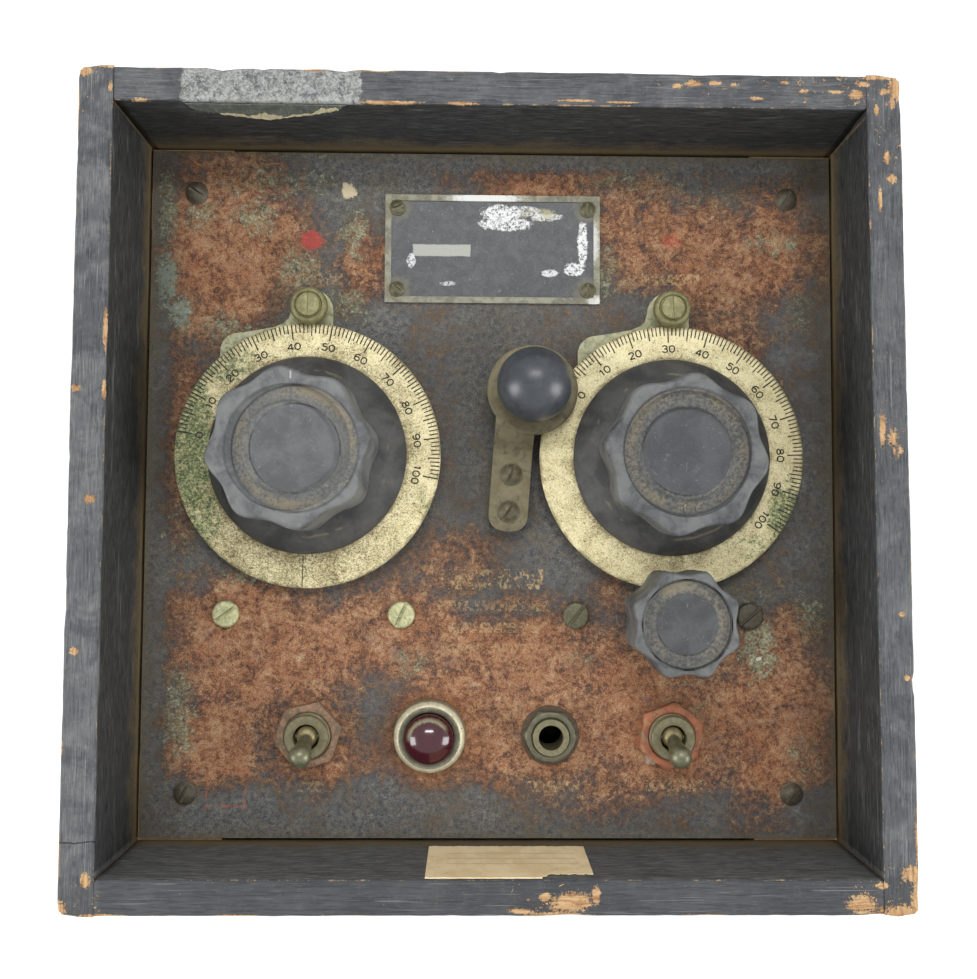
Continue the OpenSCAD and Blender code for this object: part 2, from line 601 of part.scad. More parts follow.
audio_transformer();
terminal_strip();
resistors_capacitors();
batteries();
battery_clamps();
hookup_wires();
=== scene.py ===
import bpy
import bmesh
import json
import math
import random
import numpy as np
from mathutils import Vector, Matrix


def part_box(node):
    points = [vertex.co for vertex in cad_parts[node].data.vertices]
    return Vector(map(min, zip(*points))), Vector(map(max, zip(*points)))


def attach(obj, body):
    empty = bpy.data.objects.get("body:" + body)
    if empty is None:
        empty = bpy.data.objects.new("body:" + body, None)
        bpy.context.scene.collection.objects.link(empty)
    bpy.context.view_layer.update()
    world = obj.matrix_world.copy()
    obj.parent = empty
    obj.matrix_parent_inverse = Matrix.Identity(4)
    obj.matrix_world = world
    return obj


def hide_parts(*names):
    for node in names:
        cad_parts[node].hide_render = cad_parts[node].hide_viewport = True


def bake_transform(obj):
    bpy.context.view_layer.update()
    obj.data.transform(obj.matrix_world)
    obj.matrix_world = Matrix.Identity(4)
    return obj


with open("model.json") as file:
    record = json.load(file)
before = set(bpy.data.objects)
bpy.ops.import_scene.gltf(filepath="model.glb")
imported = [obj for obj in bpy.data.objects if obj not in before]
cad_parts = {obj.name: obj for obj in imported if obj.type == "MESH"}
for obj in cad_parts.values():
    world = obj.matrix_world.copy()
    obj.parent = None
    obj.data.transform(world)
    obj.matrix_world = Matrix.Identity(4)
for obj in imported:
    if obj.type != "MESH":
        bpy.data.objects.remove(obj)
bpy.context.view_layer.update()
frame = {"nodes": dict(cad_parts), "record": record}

N = frame["nodes"]
MM = 0.001
rnd = random.Random(7)


# ------------------------------------------------------------------ where things are
def cen(node):
    lo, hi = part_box(node)
    return (lo + hi) / 2


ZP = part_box("front_panel")[1].z                 # panel face
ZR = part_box("case_side_left")[1].z              # rim
IN_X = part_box("case_top_board")[1].x            # inner half width
IN_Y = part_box("case_top_board")[0].y            # inner half height
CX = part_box("case_side_right")[1].x
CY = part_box("case_side_right")[1].y
DIAL = {"left": cen("left_dial_ring"), "right": cen("right_dial_ring")}
VERN = cen("vernier_bushing")


# ------------------------------------------------------------------ shader helpers
class Mat:
    """A node material with short helpers. Positions are millimetres in the row frame."""

    def __init__(self, name):
        self.m = bpy.data.materials.new(name)
        self.m.use_nodes = True
        self.t = self.m.node_tree
        self.t.nodes.clear()
        self.out = self.t.nodes.new("ShaderNodeOutputMaterial")
        self.b = self.t.nodes.new("ShaderNodeBsdfPrincipled")
        self.t.links.new(self.b.outputs[0], self.out.inputs[0])
        co = self.t.nodes.new("ShaderNodeTexCoord")
        s = self.t.nodes.new("ShaderNodeVectorMath")
        s.operation = "SCALE"
        s.inputs["Scale"].default_value = 1000.0
        self.t.links.new(co.outputs["Object"], s.inputs[0])
        self.P = s.outputs[0]
        sep = self.t.nodes.new("ShaderNodeSeparateXYZ")
        self.t.links.new(self.P, sep.inputs[0])
        self.X, self.Y, self.Z = sep.outputs

    def put(self, sock, v):
        if hasattr(v, "is_output") or isinstance(v, bpy.types.NodeSocket):
            self.t.links.new(v, sock)
        elif v is not None:
            if sock.type == "RGBA" and len(v) == 3:
                v = (*v, 1.0)
            sock.default_value = v

    def set(self, **kw):
        names = {"base": "Base Color", "rough": "Roughness", "metal": "Metallic", "spec": "Specular IOR Level",
                 "coat": "Coat Weight", "coat_rough": "Coat Roughness", "trans": "Transmission Weight", "ior": "IOR",
                 "normal": "Normal", "alpha": "Alpha", "sheen": "Sheen Weight", "sss": "Subsurface Weight"}
        for k, v in kw.items():
            self.put(self.b.inputs[names[k]], v)
        return self

    def vmul(self, v, k):
        n = self.t.nodes.new("ShaderNodeVectorMath")
        n.operation = "MULTIPLY"
        self.put(n.inputs[0], v)
        n.inputs[1].default_value = k
        return n.outputs[0]

    def vadd(self, v, k):
        n = self.t.nodes.new("ShaderNodeVectorMath")
        n.operation = "ADD"
        self.put(n.inputs[0], v)
        self.put(n.inputs[1], k)
        return n.outputs[0]

    def noise(self, scale, detail=4.0, rough=0.55, dist=0.0, vec=None, off=0.0, color=False):
        n = self.t.nodes.new("ShaderNodeTexNoise")
        v = self.P if vec is None else vec
        if off:
            v = self.vadd(v, (off, off * 1.7, off * 0.6))
        self.put(n.inputs["Vector"], v)
        n.inputs["Scale"].default_value = scale
        n.inputs["Detail"].default_value = detail
        n.inputs["Roughness"].default_value = rough
        n.inputs["Distortion"].default_value = dist
        return n.outputs["Color"] if color else n.outputs["Fac"]

    def voro(self, scale, vec=None, feature="F1", rand=1.0):
        n = self.t.nodes.new("ShaderNodeTexVoronoi")
        n.feature = feature
        self.put(n.inputs["Vector"], self.P if vec is None else vec)
        n.inputs["Scale"].default_value = scale
        n.inputs["Randomness"].default_value = rand
        return n.outputs["Distance"]

    def op(self, o, a, b=None, c=None, clamp=False):
        n = self.t.nodes.new("ShaderNodeMath")
        n.operation = o
        n.use_clamp = clamp
        self.put(n.inputs[0], a)
        if b is not None:
            self.put(n.inputs[1], b)
        if c is not None:
            self.put(n.inputs[2], c)
        return n.outputs[0]

    def add(self, a, b): return self.op("ADD", a, b)
    def sub(self, a, b): return self.op("SUBTRACT", a, b)
    def mul(self, a, b): return self.op("MULTIPLY", a, b)
    def mx(self, a, b): return self.op("MAXIMUM", a, b)
    def mn(self, a, b): return self.op("MINIMUM", a, b)

    def step(self, v, lo, hi, a=0.0, b=1.0):
        """Smooth step: a below lo, b above hi."""
        n = self.t.nodes.new("ShaderNodeMapRange")
        n.interpolation_type = "SMOOTHSTEP"
        self.put(n.inputs["Value"], v)
        n.inputs["From Min"].default_value = lo
        n.inputs["From Max"].default_value = hi
        n.inputs["To Min"].default_value = a
        n.inputs["To Max"].default_value = b
        return n.outputs["Result"]

    def ramp(self, fac, stops):
        n = self.t.nodes.new("ShaderNodeValToRGB")
        e = n.color_ramp.elements
        while len(e) > 1:
            e.remove(e[0])
        e[0].position, e[0].color = stops[0][0], (*stops[0][1], 1)
        for p, c in stops[1:]:
            x = e.new(p)
            x.color = (*c, 1)
        self.put(n.inputs[0], fac)
        return n.outputs[0]

    def mix(self, fac, a, b, mode="MIX"):
        n = self.t.nodes.new("ShaderNodeMix")
        n.data_type = "RGBA"
        n.blend_type = mode
        self.put(n.inputs[0], fac)
        self.put(n.inputs[6], a)
        self.put(n.inputs[7], b)
        return n.outputs[2]

    def fmix(self, fac, a, b):
        n = self.t.nodes.new("ShaderNodeMix")
        n.data_type = "FLOAT"
        self.put(n.inputs[0], fac)
        self.put(n.inputs[2], a)
        self.put(n.inputs[3], b)
        return n.outputs[0]

    def bump(self, height, strength=0.5, dist=0.1, normal=None):
        """height is in units of dist millimetres."""
        n = self.t.nodes.new("ShaderNodeBump")
        n.inputs["Strength"].default_value = strength
        n.inputs["Distance"].default_value = dist * MM
        self.put(n.inputs["Height"], height)
        if normal is not None:
            self.put(n.inputs["Normal"], normal)
        return n.outputs[0]

    def attr(self, name):
        n = self.t.nodes.new("ShaderNodeAttribute")
        n.attribute_name = name
        return n.outputs["Fac"]

    def blob(self, c, r, wob=None, soft=0.35):
        """1 inside the ellipse of centre c and radii r, 0 outside. wob, a noise about 0.5, frays the edge."""
        v = self.vadd(self.P, (-c[0], -c[1], -(c[2] if len(c) > 2 else 0)))
        v = self.vmul(v, (1 / r[0], 1 / r[1], (1 / r[2] if len(r) > 2 else 0)))
        n = self.t.nodes.new("ShaderNodeVectorMath")
        n.operation = "LENGTH"
        self.put(n.inputs[0], v)
        d = n.outputs["Value"]
        if wob is not None:
            d = self.add(d, self.mul(self.sub(wob, 0.5), 1.6))
        return self.step(d, 1 - soft, 1 + soft, 1.0, 0.0)

    def blobs(self, items, wob=None, soft=0.35):
        out = None
        for it in items:
            b = self.blob(it[0], it[1], wob, it[3] if len(it) > 3 else soft)
            if len(it) > 2 and it[2] != 1:
                b = self.mul(b, it[2])
            out = b if out is None else self.mx(out, b)
        return out

    def rect(self, x0, x1, y0, y1, soft=0.3, wob=None, amp=0.0):
        x, y = self.X, self.Y
        if wob is not None:
            w = self.mul(self.sub(wob, 0.5), amp)
            x, y = self.add(x, w), self.add(y, w)
        a = self.mul(self.step(x, x0 - soft, x0 + soft), self.step(x, x1 - soft, x1 + soft, 1.0, 0.0))
        b = self.mul(self.step(y, y0 - soft, y0 + soft), self.step(y, y1 - soft, y1 + soft, 1.0, 0.0))
        return self.mul(a, b)


# ------------------------------------------------------------------ mesh helpers
def make(name, verts, faces, mat, body, slot=None, replaces=(), smooth=True, sharp=40, merge=True):
    me = bpy.data.meshes.new(name)
    me.from_pydata([tuple(v) for v in verts], [], [tuple(f) for f in faces])
    me.validate()
    me.update()
    bm = bmesh.new()
    bm.from_mesh(me)
    if merge:
        bmesh.ops.remove_doubles(bm, verts=bm.verts, dist=1e-7)
    bmesh.ops.recalc_face_normals(bm, faces=bm.faces)
    bm.to_mesh(me)
    bm.free()
    o = bpy.data.objects.new(name, me)
    bpy.context.scene.collection.objects.link(o)
    me.materials.append(mat.m if isinstance(mat, Mat) else mat)
    if smooth:
        me.shade_smooth()
        if sharp:
            me.set_sharp_from_angle(angle=math.radians(sharp))
    return place(o, body, replaces)


def place(o, body, replaces=()):
    if body:
        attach(o, body)
    if replaces:
        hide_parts(*replaces)
    return o


def arc(cx, cz, r, a0, a1, n):
    """Points (rho, z) of an arc, angles in degrees."""
    return [(cx + r * math.cos(math.radians(a0 + (a1 - a0) * i / n)), cz + r * math.sin(math.radians(a0 + (a1 - a0) * i / n))) for i in range(n + 1)]


def lathe_data(profile, centre, seg=96, shape=None, axis=None):
    """Revolves (rho, z) points in mm about +Z through centre (metres). shape(theta, i, rho, z) gives the rho used."""
    verts, faces, rings = [], [], []
    c = Vector(centre)
    rot = axis if axis is not None else Matrix.Identity(3)
    for i, (rho, z) in enumerate(profile):
        if rho < 1e-6 and shape is None:
            verts.append(c + rot @ Vector((0, 0, z * MM)))
            rings.append([len(verts) - 1])
            continue
        ring = []
        for k in range(seg):
            th = 2 * math.pi * k / seg
            rr, zz = (rho, z) if shape is None else shape(th, i, rho, z)
            verts.append(c + rot @ Vector((rr * math.cos(th) * MM, rr * math.sin(th) * MM, zz * MM)))
            ring.append(len(verts) - 1)
        rings.append(ring)
    for a, b in zip(rings, rings[1:]):
        if len(a) == 1 and len(b) == 1:
            continue
        for k in range(seg):
            k2 = (k + 1) % seg
            if len(a) == 1:
                faces.append((a[0], b[k], b[k2]))
            elif len(b) == 1:
                faces.append((a[k], b[0], a[k2]))
            else:
                faces.append((a[k], b[k], b[k2], a[k2]))
    return verts, faces, rings


def lathe(name, profile, centre, mat, body, seg=96, shape=None, closed=False, axis=None, **kw):
    v, f, rings = lathe_data(profile, centre, seg, shape, axis)
    if closed:
        a, b = rings[-1], rings[0]
        if len(a) > 1 and len(b) > 1:
            for k in range(seg):
                k2 = (k + 1) % seg
                f.append((a[k], b[k], b[k2], a[k2]))
    else:
        for r in (rings[0], rings[-1]):
            if len(r) > 1:
                f.append(tuple(r))
    return make(name, v, f, mat, body, **kw)


def join(name, objs):
    """Joins objects that share a body into one."""
    dep = bpy.context.evaluated_depsgraph_get()
    bm = bmesh.new()
    for o in objs:
        bm.from_mesh(o.data)
    me = objs[0].data
    bm.to_mesh(me)
    bm.free()
    for o in objs[1:]:
        bpy.data.objects.remove(o)
    objs[0].name = name
    return objs[0]


def cut(o, tool_verts, tool_faces):
    """Cuts a closed tool solid out of o."""
    me = bpy.data.meshes.new("tool")
    me.from_pydata([tuple(v) for v in tool_verts], [], tool_faces)
    me.update()
    t = bpy.data.objects.new("tool", me)
    bpy.context.scene.collection.objects.link(t)
    mod = o.modifiers.new("slot", "BOOLEAN")
    mod.operation = "DIFFERENCE"
    mod.solver = "EXACT"
    mod.object = t
    dep = bpy.context.evaluated_depsgraph_get()
    new = bpy.data.meshes.new_from_object(o.evaluated_get(dep))
    o.modifiers.clear()
    old = o.data
    o.data = new
    bpy.data.meshes.remove(old)
    bpy.data.objects.remove(t)
    o.data.shade_smooth()
    o.data.set_sharp_from_angle(angle=math.radians(35))
    return o


BOXF = [(0, 3, 2, 1), (4, 5, 6, 7), (0, 1, 5, 4), (1, 2, 6, 5), (2, 3, 7, 6), (3, 0, 4, 7)]


def box_pts(c, ax, ay, hx, hy, z0, z1):
    """Corners of a box about c with unit vectors ax, ay in plan. Metres."""
    c, ax, ay = Vector(c), Vector(ax), Vector(ay)
    out = []
    for z in (z0, z1):
        for sx, sy in ((-1, -1), (1, -1), (1, 1), (-1, 1)):
            out.append(Vector((c.x, c.y, 0)) + ax * hx * sx + ay * hy * sy + Vector((0, 0, z)))
    return out


def screw(name, c, head_r, head_h, shank_r, length, angle, mat, body, dome=True, slot_w=0.9, slot_d=0.95, fill=0.0, **kw):
    """Slotted screw, head standing on c (metres), sizes in mm."""
    if dome:
        R = (head_r ** 2 + head_h ** 2) / (2 * head_h)
        a0 = math.degrees(math.asin(min(1, (head_r - 0.12) / R)))
        prof = [(0, -length), (shank_r * 0.7, -length), (shank_r, -length + 0.6), (shank_r, 0.0), (head_r - 0.15, 0.0), (head_r, 0.15), (head_r - 0.03, 0.32)]
        top = [(R * math.sin(math.radians(a0 * (1 - i / 9))), head_h - R + R * math.cos(math.radians(a0 * (1 - i / 9)))) for i in range(10)]
        prof += [(r, max(z, 0.34)) for r, z in top]
    else:
        h = head_h
        prof = [(0, -length), (shank_r * 0.7, -length), (shank_r, -length + 0.6), (shank_r, 0.0), (head_r - 0.1, 0.0), (head_r, 0.12), (head_r, h * 0.55)]
        prof += [(head_r - 0.75 + 0.75 * math.cos(t), h * 0.55 + h * 0.37 * math.sin(t)) for t in [0.3, 0.7, 1.1, 1.45]]
        prof += [(head_r * 0.5, h * 0.975), (0, h)]
    if prof[-1][0] > 1e-6:
        prof.append((0, prof[-1][1]))
    o = lathe(name, prof, c, mat, body, seg=48, **kw)
    a = math.radians(angle)
    ax, ay = (math.cos(a), math.sin(a), 0), (-math.sin(a), math.cos(a), 0)
    z1 = c[2] + (head_h + 1) * MM
    z0 = c[2] + (head_h - slot_d + fill) * MM
    cut(o, box_pts(c, ax, ay, (head_r + 1) * MM, slot_w / 2 * MM, z0, z1), BOXF)
    return o


def hexnut(name, c, af, h, bore, angle, mat, body, z0=0.0, **kw):
    """Hexagon nut with chamfered corners standing on c + z0."""
    def shape(th, i, rho, z):
        t = (th - math.radians(angle)) % (math.pi / 3) - math.pi / 6
        flat = af / 2 / math.cos(t)
        flat = min(flat, af / 2 / math.cos(math.pi / 6) - 0.12)
        return (min(flat, rho), z) if rho > bore + 0.4 else (rho, z)
    R = af / 2 / math.cos(math.pi / 6)
    prof = [(bore, z0), (R - 0.5, z0), (R, z0 + 0.35), (R, z0 + h - 0.95), (R - 0.5, z0 + h - 0.55), (af / 2 + 0.08, z0 + h - 0.14), (af / 2 - 0.35, z0 + h),
            (bore + 0.45, z0 + h), (bore, z0 + h - 0.4)]
    return lathe(name, prof, c, mat, body, seg=144, shape=shape, closed=True, sharp=28, **kw)


def fbm(p, f, seed=0.0):
    """Cheap smooth noise on numpy points (n, 3) in mm, about -1 to 1."""
    out = np.zeros(len(p))
    a = 1.0
    rs = np.random.RandomState(int(seed * 13) + 5)
    tot = 0
    for o in range(4):
        for k in range(3):
            d = rs.normal(size=3)
            d /= np.linalg.norm(d)
            ph = rs.uniform(0, 6.28)
            out += a * np.sin((p @ d) * f * 6.283 + ph + 1.3 * np.sin((p @ np.roll(d, 1)) * f * 4.1 + ph * 2))
            tot += a
        a *= 0.55
        f *= 2.1
    return out / tot * 1.6


# ------------------------------------------------------------------ camera first
cam_data = bpy.data.cameras.new("camera")
cam = bpy.data.objects.new("camera", cam_data)
bpy.context.scene.collection.objects.link(cam)
cam_data.sensor_width = 36.0
cam_data.lens = 36.0 * 1000.0 / 979.0
ax_, ay_, az_ = math.radians(2.887), math.radians(-0.978), math.radians(0.315)
Rx = Matrix(((1, 0, 0), (0, math.cos(ax_), -math.sin(ax_)), (0, math.sin(ax_), math.cos(ax_))))
Ry = Matrix(((math.cos(ay_), 0, math.sin(ay_)), (0, 1, 0), (-math.sin(ay_), 0, math.cos(ay_))))
Rz = Matrix(((math.cos(az_), -math.sin(az_), 0), (math.sin(az_), math.cos(az_), 0), (0, 0, 1)))
RC = Rz @ Ry @ Rx
cam.matrix_world = Matrix.Translation((-5.238 * MM, -13.252 * MM, ZP + 268.12 * MM)) @ RC.to_4x4()
cam_data.clip_start, cam_data.clip_end = 0.01, 20
bpy.context.scene.camera = cam

# ------------------------------------------------------------------ materials
RAW_A, RAW_B, RAW_C = (0.40, 0.225, 0.105), (0.215, 0.098, 0.040), (0.56, 0.38, 0.205)

# Broken corners of the case and bare spots: centre and radii in mm in the row frame.
zr = ZR / MM
CHIPS = [
    ((99.5, 99.0, zr), (4.0, 4.0, 4)), ((101.4, 92.0, zr), (0.8, 7.0, 5)), ((94.5, 101.2, zr), (6.0, 1.0, 4)),
    ((96.5, 12.0, zr), (1.6, 3.0, 1.2)), ((94.3, 14.0, zr), (1.0, 5.0, 1.2)), ((98.3, 9.0, zr), (0.8, 1.4, 1.0)),
    ((101.6, -46.5, zr), (2.0, 2.2, 3)), ((99.4, -45.6, zr), (1.2, 0.9, 1)), ((98.0, -30.5, zr), (0.9, 0.7, 1)),
    ((101.4, -99.5, zr), (2.6, 7.0, 5)), ((97.0, -101.2, zr), (9.0, 2.4, 4)), ((87.5, -98.6, zr), (3.6, 2.6, 2)), ((99.8, -91.6, zr), (3.0, 2.2, 2)), ((92.4, -94.3, zr), (1.9, 0.9, 1)),
    ((101.3, -82, zr), (1.0, 8, 4)), ((19.0, -98.4, zr), (5.4, 2.6, 1.6)), ((12.6, -96.9, zr), (1.4, 1.1, 1.0)), ((24.6, -96.6, zr), (1.0, 2.6, 1.0)), ((7.0, -100.2, zr), (3.0, 0.6, 1.5)), ((15, -101.2, zr), (9, 0.8, 2)),
    ((44.5, 98.2, zr), (1.6, 0.8, 0.9)), ((48.4, 98.8, zr), (2.6, 1.0, 1.0)), ((53.6, 99.0, zr), (2.0, 0.8, 0.8)), ((58.5, 98.6, zr), (1.2, 0.5, 0.8)), ((71.0, 99.4, zr), (1.6, 0.5, 0.8)), ((64.0, 95.3, zr), (1.8, 0.6, 0.8)),
    ((75.5, 97.4, zr), (1.7, 0.7, 0.8)), ((88.6, 96.6, zr), (1.9, 1.5, 1)), ((83.5, 97.2, zr), (2.4, 0.6, 0.8)), ((90.2, 99.2, zr), (2.2, 0.8, 0.8)), ((95.6, 97.4, zr), (1.6, 1.2, 0.8)), ((97.5, 94.6, zr), (0.8, 2.0, 0.8)), ((93.6, 92.8, zr), (0.7, 1.6, 0.8)),
    ((96.0, 81.0, zr), (0.8, 1.9, 0.8)), ((97.2, 75.6, zr), (1.5, 1.3, 0.8)), ((94.2, 70.5, zr), (0.6, 3.0, 0.8)), ((20, 94.2, zr), (6.0, 0.35, 0.8)), ((31, 93.9, zr), (5.0, 0.3, 0.8)),
    ((-44.5, 101.5, zr), (3.2, 1.0, 3)), ((-30, 101.4, zr), (10, 0.8, 3)), ((-12, 101.5, zr), (7, 0.7, 3)), ((-26, 93.2, zr), (9, 0.5, 1.6)), ((-8, 93.2, zr), (5, 0.4, 1.4)), ((-86.5, 93.2, zr), (3.2, 0.6, 1.4)),
    ((-99.6, 100.2, zr), (2.4, 1.5, 4)), ((-94, 101.5, zr), (3, 0.7, 3)), ((-83, 101.5, zr), (2.6, 0.7, 2)), ((-101.5, 92.0, zr), (0.7, 5, 3)), ((-93.6, 96.3, zr), (0.6, 1.5, 0.8)),
    ((-100.6, -100.0, zr), (2.2, 2.6, 5)), ((-101.6, -88.0, zr), (0.9, 7.0, 3)), ((-92.0, -101.5, zr), (7.0, 0.8, 3)), ((-94.8, -93.0, zr), (1.3, 1.8, 0.8)), ((-101.6, -62, zr), (0.7, 4, 3)),
    ((-60, -101.5, zr), (6, 0.5, 2.5)), ((-30, -101.5, zr), (5, 0.4, 2)), ((50, -101.5, zr), (7, 0.6, 2.5)),
    ((-93.3, 37.0, zr), (0.6, 5.0, 1.2)), ((-93.3, 22.0, zr), (0.5, 2.4, 1.2)), ((-100.2, 22.5, zr), (1.2, 0.9, 0.8)), ((-96.0, -4.0, zr), (1.4, 1.0, 0.8)), ((-99.0, -40.0, zr), (1.2, 1.2, 0.8)),
    ((-100.4, -100, 3), (2.6, 2.6, 5)), ((100.4, 100, 3), (3, 3, 4)), ((100.6, -100.6, 5), (2, 2, 6)), ((-100.6, 100.4, 5), (2.2, 2.2, 5)),
    ((101.8, -10, 60), (0.8, 9, 4)), ((-101.8, 30, 90), (0.8, 5, 8)), ((30, -101.8, 40), (9, 0.8, 4)), ((-40, 101.8, 70), (6, 0.8, 3)), ((101.8, 60, 30), (0.8, 4, 7)), ((60, 101.8, 110), (5, 0.8, 3)),
]
# Places thick with small flecks: centre, radii, strength.
FLECKY = [((80, 98, zr), (22, 5), 1.0), ((97.5, 90, zr), (4, 14), 1.0), ((50, 98.5, zr), (14, 3), 0.7), ((14, -98, zr), (13, 4), 0.9), ((92, -96, zr), (10, 7), 0.9), ((97, 14, zr), (4, 10), 0.8), ((-97, 94, zr), (6, 8), 0.5), ((-97, -96, zr), (6, 6), 0.6)]


def wood_paint(name, axis):
    """Old slate paint over softwood. axis: the way the grain runs, 'x' or 'y'."""
    m = Mat(name)
    k = (0.055, 1.0, 1.0) if axis == "x" else (1.0, 0.055, 1.0)
    k2 = (0.14, 1.0, 0.8) if axis == "x" else (1.0, 0.14, 0.8)
    gv = m.vmul(m.P, k)
    grain = m.noise(1.9, 5, 0.65, 0.6, gv)
    fine = m.noise(4.2, 4, 0.7, 0.2, gv, off=11)
    blot = m.noise(0.05, 4, 0.6, 0.3)
    mott = m.noise(0.30, 6, 0.72, 0.2, off=31)
    speck = m.noise(2.4, 4, 0.75, off=17)
    base = m.mix(m.step(blot, 0.36, 0.66), (0.064, 0.068, 0.073), (0.092, 0.096, 0.100))
    base = m.mix(m.mul(m.step(grain, 0.48, 0.62), 0.62), base, (0.026, 0.028, 0.032))
    base = m.mix(m.mul(m.step(fine, 0.53, 0.66), 0.42), base, (0.185, 0.19, 0.19))
    base = m.mix(m.mul(m.step(mott, 0.50, 0.70), 0.32), base, (0.15, 0.152, 0.150))
    tanf = m.step(m.add(m.mul(m.noise(1.2, 5, 0.8, 0.4, off=33), 0.7), m.mul(m.noise(0.15, 4, 0.7, off=35), 0.3)), 0.585, 0.64)
    base = m.mix(m.mul(tanf, 0.55), base, (0.20, 0.150, 0.088))
    rim = m.step(m.Z, zr - 1.6, zr - 0.5)
    left = m.mul(rim, m.step(m.X, -91, -93, 0.0, 1.0))
    right = m.mul(rim, m.step(m.X, 91, 93))
    top = m.mul(rim, m.step(m.Y, 91, 93))
    low = m.mul(rim, m.step(m.Y, -91.5, -93, 0.0, 1.0))
    # paler patches on the left and the upper right of the face
    ch = m.noise(0.10, 5, 0.72, 0.6, off=51)
    pale = m.mx(m.mul(left, m.step(ch, 0.40, 0.62)), m.mul(m.mul(m.mx(top, right), 0.75), m.step(ch, 0.45, 0.68)))
    pale = m.mul(pale, m.fmix(m.step(fine, 0.40, 0.62), 0.35, 1.0))
    base = m.mix(m.mul(pale, 0.50), base, (0.225, 0.228, 0.222))
    # the bottom of the face darker
    base = m.mix(m.mul(low, 0.35), base, (0.036, 0.037, 0.038))
    # long scratches and small pale nicks
    scr = m.step(m.noise(1.1, 3, 0.5, 0.0, m.vmul(m.P, (0.04, 2.4, 1) if axis == "x" else (2.4, 0.04, 1)), off=5), 0.655, 0.70)
    base = m.mix(m.mul(scr, 0.38), base, (0.34, 0.34, 0.33))
    nick = m.step(m.noise(0.85, 5, 0.8, 0.3, off=37), 0.665, 0.70)
    base = m.mix(m.mul(nick, 0.55), base, (0.38, 0.37, 0.34))
    pit = m.step(speck, 0.27, 0.34, 1.0, 0.0)
    base = m.mix(m.mul(pit, 0.75), base, (0.012, 0.012, 0.013))
    # inside of the case: nearly black, with brown dirt above the panel
    ax, ay = m.op("ABSOLUTE", m.X), m.op("ABSOLUTE", m.Y)
    inside = m.mul(m.step(ax, IN_X / MM + 0.5, IN_X / MM + 0.9, 1.0, 0.0), m.step(ay, IN_Y / MM + 0.5, IN_Y / MM + 0.9, 1.0, 0.0))
    inside = m.mul(inside, m.step(m.Z, zr - 0.9, zr - 0.3, 1.0, 0.0))
    foot = m.mul(inside, m.step(m.Y, -91.0, -92.0, 0.0, 1.0))
    base = m.mix(m.mul(inside, m.fmix(foot, 0.86, 0.60)), base, m.mix(m.step(fine, 0.42, 0.62), (0.012, 0.0125, 0.013), (0.060, 0.061, 0.058)))
    base = m.mix(m.mul(foot, 0.90), base, m.mix(m.step(fine, 0.40, 0.64), (0.060, 0.061, 0.060), (0.19, 0.192, 0.186)))
    zz = m.sub(m.Z, ZP / MM)
    rub = m.mul(inside, m.step(m.noise(0.55, 6, 0.75, 0.4, m.vmul(m.P, (0.10, 1, 1) if axis == "x" else (1, 0.10, 1)), off=77), 0.57, 0.66))
    base = m.mix(m.mul(rub, 0.48), base, (0.17, 0.17, 0.165))
    dirt_h = m.add(zz, m.mul(m.sub(m.noise(0.10, 5, 0.7, off=23), 0.5), -22))
    dirt = m.mul(inside, m.step(dirt_h, 1.0, 9.0, 1.0, 0.0))
    dirt = m.mul(dirt, m.fmix(m.step(m.noise(1.6, 5, 0.75, off=27), 0.42, 0.60), 0.45, 1.0))
    base = m.mix(m.mul(dirt, 0.85), base, m.mix(mott, (0.20, 0.145, 0.075), (0.075, 0.060, 0.036)))
    band = m.mul(inside, m.step(m.add(zz, m.mul(m.sub(mott, 0.5), 3.0)), 0.8, 2.6, 1.0, 0.0))
    base = m.mix(m.mul(band, 0.7), base, (0.16, 0.115, 0.055))
    # film of dried glue across the top rim and down the wall below it
    wob = m.noise(0.5, 4, 0.6, off=3)
    if axis == "x":
        film = m.mul(m.rect(-76.4, -32.8, 91.5, 101.9, 0.5, wob, 4.0), m.step(m.Z, zr - 1.5, zr - 0.6))
        f1 = m.noise(1.3, 6, 0.80, 0.8, off=41)
        f2 = m.noise(0.28, 5, 0.7, 0.8, off=43)
        edgef = m.sub(1.0, m.rect(-73.5, -35.5, 94.6, 99.8, 1.2, wob, 2.0))
        dens = m.add(m.mul(f1, 0.9), m.add(m.mul(f2, 0.55), m.mul(edgef, 0.05)))
        film = m.mul(film, m.step(dens, 0.60, 0.86))
        base = m.mix(m.mul(film, 0.90), base, m.mix(f1, (0.16, 0.163, 0.16), (0.56, 0.56, 0.52)))
        wallf = m.mul(m.mul(m.step(m.X, -80, -70), m.step(m.X, -44, -36, 1.0, 0.0)), m.mul(m.step(m.Y, 91, 92), m.mul(m.step(zz, 20.5, 23.5), m.step(m.Z, zr - 0.8, zr - 0.3, 1.0, 0.0))))
        base = m.mix(m.mul(wallf, m.mul(m.step(m.noise(1.4, 4, 0.7, 0.2, m.vmul(m.P, (1.0, 1, 0.2)), off=47), 0.42, 0.62), 0.75)), base, (0.17, 0.19, 0.165))
